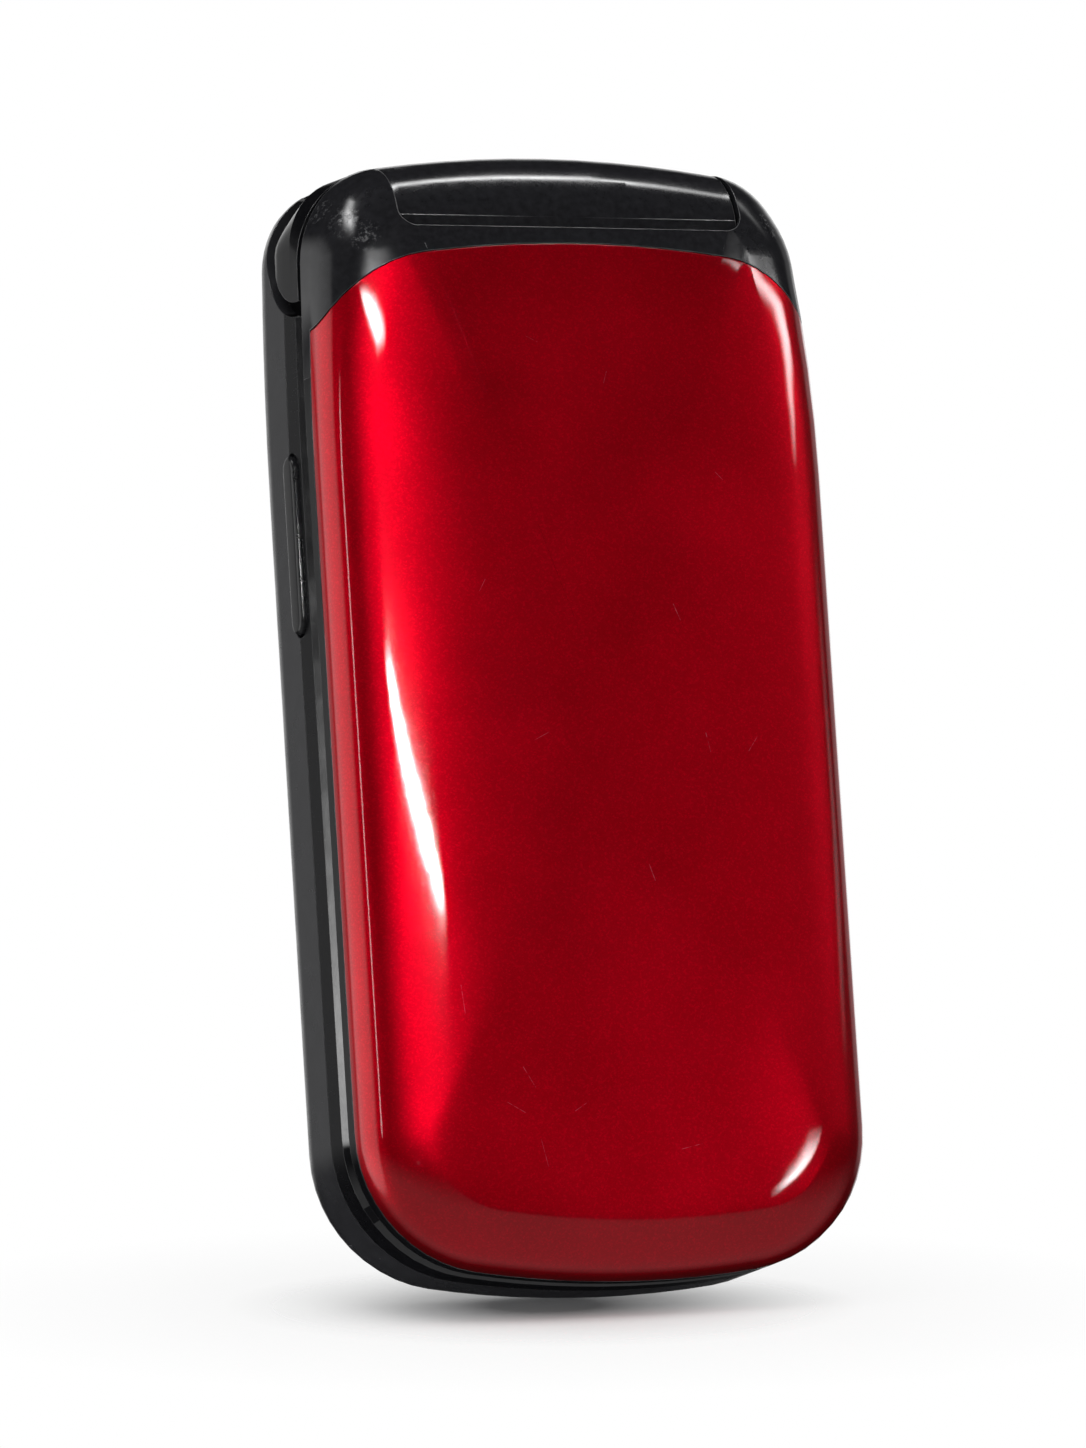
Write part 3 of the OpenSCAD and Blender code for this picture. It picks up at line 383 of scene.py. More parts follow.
def ribbonFilm():
    p = ribbonLook
    mat, tree, shader = startMaterial("ribbonFilm", {"Roughness": p["rough"]})
    lines = put(tree, "ShaderNodeTexWave", {
        "Vector": place(tree), "Scale": p["lineScale"], "Distortion": 0.0}).outputs["Fac"]
    lines = spread(tree, lines, 0.6, 0.7)
    feed(tree, shader, {"Base Color": blendColor(tree, lines, p["film"], p["copper"])})
    return mat


meshLook = {"metal": (0.36, 0.36, 0.37), "hole": (0.004, 0.004, 0.004),
            "holeScale": 2400.0, "rough": 0.35, "dent": 0.5, "dentDepth": 0.00008}


def perforatedMetal():
    p = meshLook
    mat, tree, shader = startMaterial("perforatedMetal", {
        "Metallic": 1.0, "Roughness": p["rough"]})
    # the holes are near-black colour only: painted shade in place of real openings
    solid = spread(tree, cells(tree, p["holeScale"], 0.0)["Distance"], 0.3, 0.36)
    feed(tree, shader, {
        "Base Color": blendColor(tree, solid, p["hole"], p["metal"]),
        "Normal": bumpFrom(tree, solid, p["dent"], p["dentDepth"])})
    return mat


displayLook = {
    "centre": (0.0, -6.0), "clear": (28.6, 34.6), "lit": (28.0, 34.0),  # mm
    "frost": 0.02, "glass": (0.9, 0.93, 0.95), "index": 1.49, "edge": 0.0001,
    "hairScale": 1500, "hair": 0.01, "hairDepth": 0.00005, "cellMortar": 0.03,
    "border": (0.004, 0.004, 0.005), "borderRough": 0.06, "panelRough": 0.12,
    "frame": (0.3, 0.3, 0.31), "cellScale": 3000.0, "cellGap": (0.008, 0.009, 0.012),
    "cells": ((0.016, 0.02, 0.026), (0.019, 0.023, 0.03)),
}


def boxMask(tree, centre, size, feather=0.08):
    # 1 inside a rectangle seen from the lid's side, 0 outside it
    parts = put(tree, "ShaderNodeSeparateXYZ", {0: place(tree)}).outputs
    sides = []
    for axis in (0, 1):
        off = math2(tree, "ABSOLUTE", math2(tree, "SUBTRACT", parts[axis], centre[axis] * mm))
        half = size[axis] / 2
        sides.append(spread(tree, off, (half - feather) * mm, (half + feather) * mm, 1.0, 0.0))
    return math2(tree, "MINIMUM", *sides)


def windowPlastic():
    p = displayLook
    mat, tree, shader = startMaterial("windowPlastic", {
        "Base Color": (*p["glass"], 1), "Roughness": p["frost"], "Transmission Weight": 1.0,
        "IOR": p["index"]})
    hair = noise(tree, p["hairScale"], 3, 0.6, (1, 8, 1))
    feed(tree, shader, {
        "Normal": bumpFrom(tree, hair, p["hair"], p["hairDepth"], roundEdge(tree, p["edge"]))})
    border = put(tree, "ShaderNodeBsdfPrincipled", {
        "Roughness": p["borderRough"], "Base Color": (*p["border"], 1),
        "Normal": roundEdge(tree, p["edge"])})
    mask = boxMask(tree, p["centre"], p["clear"])
    both = put(tree, "ShaderNodeMixShader", {0: mask, 1: border.outputs[0], 2: shader.outputs[0]})
    feed(tree, tree.nodes["Material Output"], {"Surface": both.outputs[0]})
    return mat


def displayPanel():
    p = displayLook
    mat, tree, shader = startMaterial("displayPanel", {
        "Roughness": p["panelRough"], "Specular IOR Level": 0.6})
    lit = bricks(tree, p["cellScale"], p["cellMortar"], *p["cells"], p["cellGap"])
    mask = boxMask(tree, p["centre"], p["lit"])
    feed(tree, shader, {"Base Color": blendColor(tree, mask, p["frame"], lit)})
    return mat


packLook = {"dark": (0.07, 0.07, 0.078), "light": (0.11, 0.11, 0.12), "panel": (0.32, 0.33, 0.34),
            "panelCentre": (0.0, -11.0), "panelSize": (29.0, 34.0), "feather": 0.2,  # mm
            "toneScale": 600, "smearScale": 400, "rough": (0.38, 0.5), "edge": 0.0002}


def packShell():
    p = packLook
    mat, tree, shader = startMaterial("packShell", {"Specular IOR Level": 0.5})
    skin = blendColor(tree, noise(tree, p["toneScale"], 5), p["dark"], p["light"])
    mask = boxMask(tree, p["panelCentre"], p["panelSize"], p["feather"])
    feed(tree, shader, {
        "Base Color": blendColor(tree, mask, skin, p["panel"]),
        "Roughness": spread(tree, noise(tree, p["smearScale"], 4), 0.3, 0.7, *p["rough"]),
        "Normal": roundEdge(tree, p["edge"])})
    return mat


finish = {
    "red": candyRed(),
    # the shoulder's pale worn specks are partly a painted highlight
    "gloss": smoothBlack("glossBlack", (0.014, 0.014, 0.016), (0.10, 0.2),
                         scuffsAndSheen=blackSkin["shoulderScuffsAndSheen"]),
    "barrel": smoothBlack("glossBlackBarrel", (0.014, 0.014, 0.016), (0.12, 0.22),
                          scuffsAndSheen=blackSkin["wornBarrel"]),
    "rim": smoothBlack("glossBlackRim", (0.005, 0.005, 0.006), (0.14, 0.24), 0.00008, shine=0.3),
    "rocker": smoothBlack("glossBlackRocker", (0.012, 0.012, 0.013), (0.12, 0.2), 0.00006),
    "keypad": smoothBlack("keypadFace", (0.005, 0.005, 0.006), (0.2, 0.3), 0.00008,
                          shine=0.1, edgeHighlightShare=0.2),
    "keypadRim": smoothBlack("keypadRimGloss", (0.008, 0.008, 0.009), (0.05, 0.09), 0.00004,
                             shine=1.0, edgeHighlightShare=0.2),
    "shell": satinPlastic("satinGreyShell", (0.026, 0.026, 0.029), 0.24),
    "cover": satinPlastic("satinGreyCover", (0.024, 0.024, 0.027), 0.34, 0.3),
    "key": satinPlastic("satinKey", (0.035, 0.035, 0.038), 0.32, 0.1, 0.00006),
    "dark": satinPlastic("mouldedBlack", (0.018, 0.018, 0.019), 0.5),
    "rubber": satinPlastic("stopRubber", (0.02, 0.02, 0.02), 0.62, 0.3),
    "carrier": satinPlastic("antennaCarrier", (0.16, 0.16, 0.155), 0.45),
    "steel": brushedMetal("bareSteel", (0.62, 0.62, 0.64), 0.28),
    "can": brushedMetal("shieldCanTin", (0.66, 0.66, 0.66), 0.34, (9, 1, 1)),
    "silicone": softSheet("matSilicone", (0.55, 0.56, 0.57), 0.45, 0.4),
    "film": softSheet("domeFilm", (0.66, 0.66, 0.62), 0.25, 0.1),
    "acetal": softSheet("bushAcetal", (0.74, 0.73, 0.67), 0.4, 0.3),
    "board": circuitBoard(), "ribbon": ribbonFilm(), "pack": packShell(),
    "window": windowPlastic(), "panel": displayPanel(), "mesh": perforatedMetal(),
}
print("finishes made:", len(finish))

# the phone's smooth outer forms, in mm
body = {
    "halfWidth": 20.25, "halfLength": 43.0, "thick": 18.9, "hingeEnd": 90.0, "farEnd": 78.0,
    "hingeCorner": 7.5, "farCorner": 10.5, "rearCorner": 5.5, "baseCorner": 6.0,
    "hingeY": 37.4, "hingeZ": 11.2, "barrel": 5.6, "barrelHalf": 13.7, "barrelCorner": 12.0,
    "barrelEnd": 8.0, "earInset": 0.15, "earGrow": 0.8,
    "lip": 6.5, "lidZ": 11.4, "coverZ": 13.1, "crown": 3.0, "bevel": 0.5, "baseTop": 11.0,
    "backRound": 3.75, "backRoundHigh": 4.5, "taperFrom": 18.0, "taperLong": 17.0,
    "seamTaper": 0.2, "lidLean": 0.3, "baseTaper": 0.4,
}
planSteps = {"side": 48, "end": 48, "corner": 54}
roundSteps = 96


def planOf(farCorner, hingeCorner):
    # centres, radii and angles round the closed outline, counter-clockwise from the right side
    hw, hl, r1, r0 = body["halfWidth"], body["halfLength"], body["hingeEnd"], body["farEnd"]
    topX, topC = hw - hingeCorner, hl - r1
    topY = topC + math.sqrt((r1 - hingeCorner) ** 2 - topX ** 2)
    topA = math.atan2(topY - topC, topX)
    lowX, lowC = hw - farCorner, r0 - hl
    lowY = lowC - math.sqrt((r0 - farCorner) ** 2 - lowX ** 2)
    lowA = math.atan2(lowC - lowY, lowX)
    rows = []

    def arc(x, y, r, a0, a1, kind):
        steps = planSteps[kind]
        rows.extend((x, y, r, a0 + (a1 - a0) * k / steps) for k in range(steps))

    def side(x, y0, y1, r, a):
        steps = planSteps["side"]
        rows.extend((x, y0 + (y1 - y0) * k / steps, r, a) for k in range(steps))

    side(topX, lowY, topY, hingeCorner, 0.0)
    arc(topX, topY, hingeCorner, 0.0, topA, "corner")
    arc(0, topC, r1, topA, math.pi - topA, "end")
    arc(-topX, topY, hingeCorner, math.pi - topA, math.pi, "corner")
    side(-topX, topY, lowY, hingeCorner, math.pi)
    arc(-lowX, lowY, farCorner, math.pi, math.pi + lowA, "corner")
    arc(0, lowC, r0, math.pi + lowA, 2 * math.pi - lowA, "end")
    arc(lowX, lowY, farCorner, 2 * math.pi - lowA, 2 * math.pi, "corner")
    return np.array(rows)


def ringOf(plan, side, hinge, far, z, taper):
    # the outline set in by side, hinge and far at its sides, hinge end and far end
    x, y, r, a = plan.T
    s, c = np.sin(a), np.cos(a)
    inset = side * (1 - s * s) + s * s * np.where(s > 0, hinge, far)
    py = y + (r - inset) * s
    t = np.clip((py - body["taperFrom"]) / body["taperLong"], 0, 1.2)
    return np.column_stack((x + (r - inset - taper * t * t) * c, py, np.full(len(x), z)))


def crownInset(z):
    u = max(0.0, z - body["coverZ"]) / (body["thick"] - body["coverZ"])
    return body["halfWidth"] * (1 - (1 - u ** body["crown"]) ** (1 / body["crown"]))


def crownHeight(inset):
    v = max(0.0, 1 - inset / body["halfWidth"])
    rise = (1 - v ** body["crown"]) ** (1 / body["crown"])
    return body["coverZ"] + (body["thick"] - body["coverZ"]) * rise


def lidTaper(z):
    return body["seamTaper"] + body["lidLean"] * max(0.0, z - body["lidZ"])


def lidRings():
    plan = planOf(body["farCorner"], body["hingeCorner"])
    low = body["lidZ"] + body["bevel"]
    rings = [ringOf(plan, 0, 0, 0, z, lidTaper(z))
             for z in np.linspace(low, body["coverZ"], 5)[:-1]]
    start = math.asin((body["coverZ"] - body["hingeZ"]) / body["lip"])
    for a in np.linspace(start, math.pi / 2, 36):
        z = body["hingeZ"] + body["lip"] * math.sin(a)
        inset = crownInset(z)
        hinge = body["barrel"] * (1 - math.cos(a))
        rings.append(ringOf(plan, inset, hinge, inset, z, lidTaper(z)))
    last, edge = rings[-1], crownInset(body["hingeZ"] + body["lip"])
    middle = (edge - body["barrel"]) / 2
    for k in 1 - np.linspace(0, 1, 60)[1:] ** 1.4 * 0.995:  # denser near the crown's edge
        z = crownHeight(edge + (body["halfWidth"] - edge) * (1 - k))
        y = middle + (last[:, 1] - middle) * k
        rings.append(np.column_stack((last[:, 0] * k, y, np.full(len(last), z))))
    return rings


def baseRings():
    plan, rings = planOf(body["farCorner"], body["baseCorner"]), []
    for a in np.linspace(0, math.pi / 2, 30):
        i = body["backRound"] * (1 - math.sin(a))
        z = body["backRoundHigh"] * (1 - math.cos(a))
        rings.append(ringOf(plan, i, i, i, z, body["baseTaper"]))
    for z in np.linspace(body["backRoundHigh"], body["baseTop"] - body["bevel"], 8)[1:]:
        rings.append(ringOf(plan, 0, 0, 0, z, body["baseTaper"]))
    return rings


def aroundHinge(plan, first, last, steps, sideInset, taper):
    # rings that follow the barrel's round from the angle first to the angle last
    rings = []
    for a in np.linspace(first, last, steps):
        turned = 1 - math.cos(a)
        z = body["hingeZ"] + body["barrel"] * math.sin(a)
        rings.append(ringOf(plan, sideInset(turned), body["barrel"] * turned, 0, z, taper))
    return rings


def barrelRings():
    plan = planOf(body["barrelCorner"], body["barrelEnd"])
    return aroundHinge(plan, -math.pi / 2, math.pi / 2, 60, lambda turned: 0, 0)


def earRings():
    plan = planOf(body["farCorner"], body["rearCorner"])
    return aroundHinge(plan, -math.pi / 2, -math.pi / 12, 30,
                       lambda turned: body["earInset"] + body["earGrow"] * turned ** 3,
                       body["seamTaper"])


def barrelFront():
    a = np.linspace(0, 2 * math.pi, roundSteps, endpoint=False)
    y = body["hingeY"] + body["barrel"] * np.cos(a)
    z = body["hingeZ"] + body["barrel"] * np.sin(a)
    return [np.column_stack((np.full(roundSteps, x), y, z))
            for x in np.linspace(-body["barrelHalf"], body["barrelHalf"], 5)]


class Form:
    # a fine grid of the true surface: it says which way the surface faces anywhere on it
    def __init__(self, rings):
        grid = np.array(rings)
        count, around = grid.shape[:2]
        across = np.roll(grid, -1, 1) - np.roll(grid, 1, 1)
        upward = np.gradient(grid, axis=0)
        facing = np.cross(across, upward)
        size = np.linalg.norm(facing, axis=2, keepdims=True)
        self.facing = (facing / np.maximum(size, 1e-12)).reshape(-1, 3)
        self.points = grid.reshape(-1, 3)
        tris = []
        for j in range(count - 1):
            a = j * around + np.arange(around)
            b = j * around + (np.arange(around) + 1) % around
            tris += [np.column_stack((a, b, b + around)),
                     np.column_stack((a, b + around, a + around))]
        self.tris = np.concatenate(tris)
        self.tree = BVHTree.FromPolygons(self.points.tolist(), self.tris.tolist())

    def at(self, point):
        # the surface's direction nearest to a point, and how far away it is
        found, _, index, gap = self.tree.find_nearest(point)
        a, b, c = self.points[self.tris[index]]
        v0, v1, v2 = b - a, c - a, np.array(found) - a
        d00, d01, d11, d20, d21 = v0 @ v0, v0 @ v1, v1 @ v1, v2 @ v0, v2 @ v1
        det = d00 * d11 - d01 * d01
        if abs(det) < 1e-18:
            return self.facing[self.tris[index][0]], gap
        v, w = (d11 * d20 - d01 * d21) / det, (d00 * d21 - d01 * d20) / det
        n = self.facing[self.tris[index]]
        n = n[0] * (1 - v - w) + n[1] * v + n[2] * w
        return n / np.linalg.norm(n), gap


forms = {"lid": Form(lidRings()), "base": Form(baseRings()), "barrel": Form(barrelRings()),
         "ear": Form(earRings()), "front": Form(barrelFront())}
print("outer forms laid out")


def makeMesh(name, verts, faces):
    mesh = bpy.data.meshes.new(name)
    mesh.from_pydata([tuple(v) for v in verts], [], faces)
    mesh.update()
    return mesh


def smoothMesh(name, verts, faces, sharp):
    # smooth, but for the edges that turn by more than sharp, in degrees
    mesh = makeMesh(name, verts, faces)
    mesh.polygons.foreach_set("use_smooth", [True] * len(mesh.polygons))
    mesh.set_sharp_from_angle(angle=math.radians(sharp))
    return mesh


def finishPiece(mesh, name, bodyName, slotName, material, *stoodFor):
    mesh.materials.append(material)
    piece = addObject(name, mesh)
    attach(piece, bodyName)
    if stoodFor:
        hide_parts(*stoodFor)
    return piece


# shells: the CAD shapes with the true surfaces' shading
fairing = {
    "reach": 0.09,  # mm that a corner may lie off the form
    "agree": 0.86,  # least cosine between a triangle and the form
    "sharp": 32,  # degrees
}


def fairShell(name, node, formNames, bodyName, slotName, kind):
    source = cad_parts[node].data
    source.calc_loop_triangles()
    points = np.array([v.co for v in source.vertices]) / mm
    tris = np.array([t.vertices for t in source.loop_triangles])
    keys, index = np.unique(np.round(points, 4), axis=0, return_inverse=True)
    tris = index.reshape(-1)[tris]
    same = (tris[:, 0] == tris[:, 1]) | (tris[:, 1] == tris[:, 2]) | (tris[:, 2] == tris[:, 0])
    tris = tris[~same]
    corner = keys[tris]
    flat = np.cross(corner[:, 1] - corner[:, 0], corner[:, 2] - corner[:, 0])
    size = np.linalg.norm(flat, axis=1)
    flat = flat / np.maximum(size, 1e-12)[:, None]
    owner = np.full(len(tris), -1)
    turned = []
    for number, formName in enumerate(formNames):
        near = [forms[formName].at(Vector(p)) for p in keys]
        gap = np.array([n[1] for n in near])
        facing = np.array([n[0] for n in near])
        turned.append(facing)
        touching = (gap[tris] < fairing["reach"]).all(axis=1)
        lean = np.abs((facing[tris] * flat[:, None, :]).sum(axis=2)).min(axis=1)
        owner[(owner < 0) & touching & (lean > fairing["agree"]) & (size > 1e-9)] = number
    seen, verts, faces, custom = {}, [], [], []
    for t, face in enumerate(tris):
        row = []
        for v in face:
            tag = (v, owner[t])
            if tag not in seen:
                seen[tag] = len(verts)
                verts.append(keys[v] * mm)
            row.append(seen[tag])
            n = turned[owner[t]][v] if owner[t] >= 0 else np.zeros(3)
            custom.append(tuple(n if n @ flat[t] >= 0 else -n))
        faces.append(row)
    mesh = smoothMesh(name, verts, faces, fairing["sharp"])
    mesh.normals_split_custom_set(custom)
    return finishPiece(mesh, name, bodyName, slotName, finish[kind], node)


fairShell("lidCover", "lid_cover", ["lid"], "lid", "red_lacquer", "red")
fairShell("hingeShoulder", "hinge_shoulder", ["lid"], "lid", "black_gloss", "gloss")
fairShell("lidRim", "lid_frame", ["lid", "ear"], "lid", "black_gloss", "rim")
fairShell("hingeBarrel", "hinge_barrel", ["front", "barrel"], "base", "black_gloss", "barrel")
fairShell("backShell", "back_shell", ["base"], "base", "dark_grey", "shell")
fairShell("batteryLid", "battery_cover", ["base"], "battery_cover", "dark_grey", "cover")
keypadFace = fairShell("keypadFace", "front_housing", ["base"], "base", "keypad_black", "keypad")
fairShell("socketFlap", "socket_flap", ["base"], "socket_flap", "dark_grey", "shell")

# the polished bevel round the keypad's edge: how far out it starts in mm, and how it leans
polished = {"x": 18.5, "y": 38, "leastUp": 0.4, "mostUp": 0.9}
keypadFace.data.materials.append(finish["keypadRim"])
for face in keypadFace.data.polygons:
    x, y, z = face.center / mm
    outside = abs(x) > polished["x"] or abs(y) > polished["y"]
    leaning = polished["leastUp"] < face.normal.z < polished["mostUp"]
    if outside and leaning and z > body["baseTop"] - body["bevel"]:
        face.material_index = 1
print("shells faired")

sharpAngle = 38  # degrees, of the pieces made from loops


def ringFaces(rings, count):
    # four-sided faces between closed rings of count points each
    steps = [(j * count, i, (i + 1) % count) for j in range(rings - 1) for i in range(count)]
    return [(j + i, j + k, j + count + k, j + count + i) for j, i, k in steps]


def solidFromLoops(name, loops):
    # loops of points, one above the other, made into a closed solid
    count, last = len(loops[0]), len(loops) - 1
    faces = [tuple(reversed(range(count)))] + ringFaces(len(loops), count)
    faces.append(tuple(last * count + i for i in range(count)))
    return smoothMesh(name, [p for loop in loops for p in loop], faces, sharpAngle)


def roundedLoop(width, length, radius, steps=7):
    radius = min(radius, width / 2 - 1e-4, length / 2 - 1e-4)
    points = []
    for cx, cy, start in ((1, 1, 0), (-1, 1, 90), (-1, -1, 180), (1, -1, 270)):
        for k in range(steps + 1):
            a = math.radians(start + 90 * k / steps)
            points.append((cx * (width / 2 - radius) + radius * math.cos(a),
                           cy * (length / 2 - radius) + radius * math.sin(a)))
    return points


keyCap = {
    "corner": 1.6, "leastCorner": 0.2, "edge": 0.32, "flange": 0.35, "crown": 0.1, "root": 0.4,
    "dome": [(0.8, 0.07), (1.4, 0.035), (2.0, 0.01)],  # inset and depth under the top
}  # mm


def edgeRound(edge, top, first):
    # inset and height along a rounded edge that ends at the height top
    return [(edge * (1 - math.cos(a)), top - edge * (1 - math.sin(a)))
            for a in np.linspace(first, math.pi / 2, 6)]


def makeKeyCap(node):
    low, high = (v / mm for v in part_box(node))
    cx, cy = (low.x + high.x) / 2, (low.y + high.y) / 2
    width = high.x - low.x - 2 * keyCap["flange"]
    length = high.y - low.y - 2 * keyCap["flange"]
    shoulder, loops = high.z - keyCap["crown"], []
    rows = [(0, low.z + keyCap["root"]), (0, shoulder - keyCap["edge"])]
    rows += edgeRound(keyCap["edge"], shoulder, 0.2)
    rows += [(inset, high.z - depth) for inset, depth in keyCap["dome"]]
    for inset, z in rows:
        inset = min(inset, min(width, length) / 2 - 0.2)
        corner = max(keyCap["leastCorner"], keyCap["corner"] - inset)
        loop = roundedLoop(width - 2 * inset, length - 2 * inset, corner)
        loops.append([((cx + x) * mm, (cy + y) * mm, z * mm) for x, y in loop])
    mesh = solidFromLoops(node + "_cap", loops)
    finishPiece(mesh, node + "_cap", node, "key_grey", finish["key"], node)
    return cx, cy, high.z


def makeTurned(name, node, profile, cx, cy):
    # profile is radius and height in mm, closed on itself
    verts, faces, count = [], [], len(profile)
    for k in range(roundSteps):
        a = 2 * math.pi * k / roundSteps
        c, s = math.cos(a), math.sin(a)
        verts += [((cx + r * c) * mm, (cy + r * s) * mm, z * mm) for r, z in profile]
        n = (k + 1) % roundSteps
        for i in range(count):
            j = (i + 1) % count
            faces.append((k * count + i, n * count + i, n * count + j, k * count + j))
    mesh = smoothMesh(name, verts, faces, sharpAngle)
    finishPiece(mesh, name, node, "key_grey", finish["key"], node)


# marks printed on the keys, in mm
mark = {
    "height": 3.3, "clearHeight": 2.4, "fontScale": 1.35, "lift": 0.012, "thick": 0.018,
    "dash": (2.6, 0.45, 0.2), "dot": (1.5, 1.5, 0.3), "sendTilt": 35, "depth": 0.01,
    "pale": (0.72, 0.73, 0.74), "green": (0.02, 0.42, 0.08), "red": (0.55, 0.02, 0.02),
    "rough": 0.45, "toneScale": 4000, "dull": 0.82,
}


def makeInk(name, color):
    mat, tree, shader = startMaterial(name, {"Roughness": mark["rough"]})
    tone = noise(tree, mark["toneScale"], 2)
    feed(tree, shader, {"Base Color": blendColor(tree, tone, color, scaled(color, mark["dull"]))})
    return mat


legendInk = makeInk("legendInk", mark["pale"])
greenInk, redInk = makeInk("callGreenInk", mark["green"]), makeInk("endRedInk", mark["red"])


def writeLegend(node, text, cx, cy, top, height):
    curve = bpy.data.curves.new(node + "_legendCurve", "FONT")
    curve.body, curve.size = text, height * mm * mark["fontScale"]
    curve.align_x, curve.align_y = "CENTER", "CENTER"
    curve.extrude = mark["depth"] * mm
    curve.resolution_u = 3
    holder = addObject(node + "_legendHolder", curve)
    bpy.context.view_layer.update()
    mesh = bpy.data.meshes.new_from_object(holder)
    bpy.data.objects.remove(holder)
    mesh.name = node + "_legend"
    mesh.transform(Matrix.Translation((cx * mm, cy * mm, (top + mark["lift"]) * mm)))
    finishPiece(mesh, node + "_legend", node, "key_grey", legendInk)


def drawShape(node, suffix, outline, cx, cy, top, ink):
    loops = [[((cx + x) * mm, (cy + y) * mm, z * mm) for x, y in outline]
             for z in (top, top + mark["thick"])]
    finishPiece(solidFromLoops(node + suffix, loops), node + suffix, node, "key_grey", ink)


def bow(radius, first, sweep, steps, drop):
    # points on an arc, its angles in degrees, lowered by drop
    turns = (math.radians(first + sweep * k / steps) for k in range(steps + 1))
    return [(radius * math.cos(a), radius * math.sin(a) - drop) for a in turns]


def handset(tilt):
    # a plain telephone receiver, seen from the side, in mm
    rows = bow(1.75, 30, 120, 12, 0.9) + [(-1.62, -0.62), (-1.0, -0.62), (-0.95, -0.1)]
    rows += bow(1.05, 140, -100, 8, 0.75) + [(0.95, -0.1), (1.0, -0.62), (1.62, -0.62)]
    c, s = math.cos(math.radians(tilt)), math.sin(math.radians(tilt))
    return [(x * c - y * s, x * s + y * c) for x, y in rows]


for name in "1 2 3 4 5 6 7 8 9 star 0 hash".split():
    node = "key_" + name
    cx, cy, top = makeKeyCap(node)
    writeLegend(node, {"star": "*", "hash": "#"}.get(name, name), cx, cy, top, mark["height"])
for node in ("soft_key_left", "soft_key_right"):
    drawShape(node, "_mark", roundedLoop(*mark["dash"], 3), *makeKeyCap(node), legendInk)
drawShape("send_key", "_mark", handset(mark["sendTilt"]), *makeKeyCap("send_key"), greenInk)
drawShape("end_key", "_mark", handset(0), *makeKeyCap("end_key"), redInk)
writeLegend("clear_key", "C", *makeKeyCap("clear_key"), mark["clearHeight"])

# navigation ring and select key: inset from the outer radius, or radius, and depth under the top
navPad = {
    "hole": 3.75, "selectRadius": 3.6,
    "outer": [(0, 0.3), (0.06, 0.14), (0.2, 0.04), (0.45, 0), (1.1, 0.05)],
    "inner": [(1.6, 0.14), (0.5, 0.08), (0.15, 0.1), (0, 0.25)],
    "select": [(3.6, 0.3), (3.52, 0.12), (3.3, 0.04), (2.4, 0.01), (0.001, 0)],
    "arrow": [(0.55, 0), (-0.25, 0.5), (-0.25, -0.5)], "arrowAt": 6.1, "arrowDepth": 0.09,
}  # mm
ringLow, ringHigh = (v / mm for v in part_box("nav_ring"))
padCentre = ((ringLow.x + ringHigh.x) / 2, (ringLow.y + ringHigh.y) / 2)
navTop, navOut, navIn = ringHigh.z, (ringHigh.x - ringLow.x) / 2, navPad["hole"]
makeTurned("navRing", "nav_ring",
           [(navIn, ringLow.z), (navOut, ringLow.z)]
           + [(navOut - inset, navTop - depth) for inset, depth in navPad["outer"]]
           + [(navIn + inset, navTop - depth) for inset, depth in navPad["inner"]], *padCentre)
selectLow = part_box("select_key")[0] / mm
makeTurned("selectKey", "select_key",
           [(0.001, selectLow.z), (navPad["selectRadius"], selectLow.z)]
           + [(radius, navTop - depth) for radius, depth in navPad["select"]], *padCentre)
for k in range(4):
    c, s = math.cos(math.pi / 2 * k), math.sin(math.pi / 2 * k)
    arrow = [((x + navPad["arrowAt"]) * c - y * s, (x + navPad["arrowAt"]) * s + y * c)
             for x, y in navPad["arrow"]]
    drawShape("nav_ring", "_arrow%d" % k, arrow, *padCentre,
              navTop - navPad["arrowDepth"], legendInk)
drawShape("select_key", "_dot", roundedLoop(*mark["dot"], 3), *padCentre, navTop, legendInk)
print("keys capped and marked")

rocker = {"long": 13.6, "wide": 2.1, "proud": 0.4, "edge": 0.28, "y": 13.6, "z": 8.5,
          "root": 18.6, "crownInset": 0.6, "crownRise": 0.02}  # mm


def makeRocker():
    face, loops = body["halfWidth"] + rocker["proud"], []
    rows = [(0, rocker["root"]), (0, face - rocker["edge"])] + edgeRound(rocker["edge"], face, 0.25)
    rows += [(rocker["crownInset"], face + rocker["crownRise"])]
    for inset, x in rows:
        loop = roundedLoop(rocker["wide"] - 2 * inset, rocker["long"] - 2 * inset,
                           rocker["wide"] / 2 - inset, 12)
        loops.append([(-x * mm, (rocker["y"] + y) * mm, (rocker["z"] + z) * mm) for z, y in loop])
    finishPiece(solidFromLoops("volumeRocker", loops), "volumeRocker", "volume_rocker",
                "black_gloss", finish["rocker"], "volume_rocker")


makeRocker()
print("volume rocker made")

# finishes of the pieces that keep the CAD's shape
nodeFinish = {
    "window": "display_window", "panel": "display_module", "mesh": "earpiece_mesh",
    "board": "lid_board main_board rocker_board", "rubber": "lid_bumpers",
    "dark": "earpiece ringer_speaker battery_contacts",
    "steel": "lid_screws base_screws cam_unit cam_head hinge_sleeve vibration_motor"
             " vibration_weight lid_magnet microphone charge_socket",
    "can": "shield_can sim_holder", "ribbon": "lid_flex base_flex", "silicone": "keypad_mat",
    "film": "dome_sheet", "acetal": "hinge_bush", "pack": "battery", "carrier": "antenna",
}
for kind, nodes in nodeFinish.items():
    for node in nodes.split():
        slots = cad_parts[node].data.materials
        if not len(slots):
            slots.append(finish[kind])
        for k in range(len(slots)):
            slots[k] = finish[kind]
print("inner pieces finished")

# two lamps, the white room, and how far away the bright cards and the dark dome stand
studio = {
    "topLamp": {"dir": (-0.1, 0.95, 0.3), "size": (0.8, 0.6), "power": 3.0},
    "lowLamp": {"dir": (0.055, -0.988, 0.148), "size": (0.5, 0.3), "power": 3.0},
    "world": 0.50,  # what the white room gives to matt surfaces
    "lampDistance": 1.0, "cardDistance": 1.3, "domeDistance": 1.4,  # metres
}

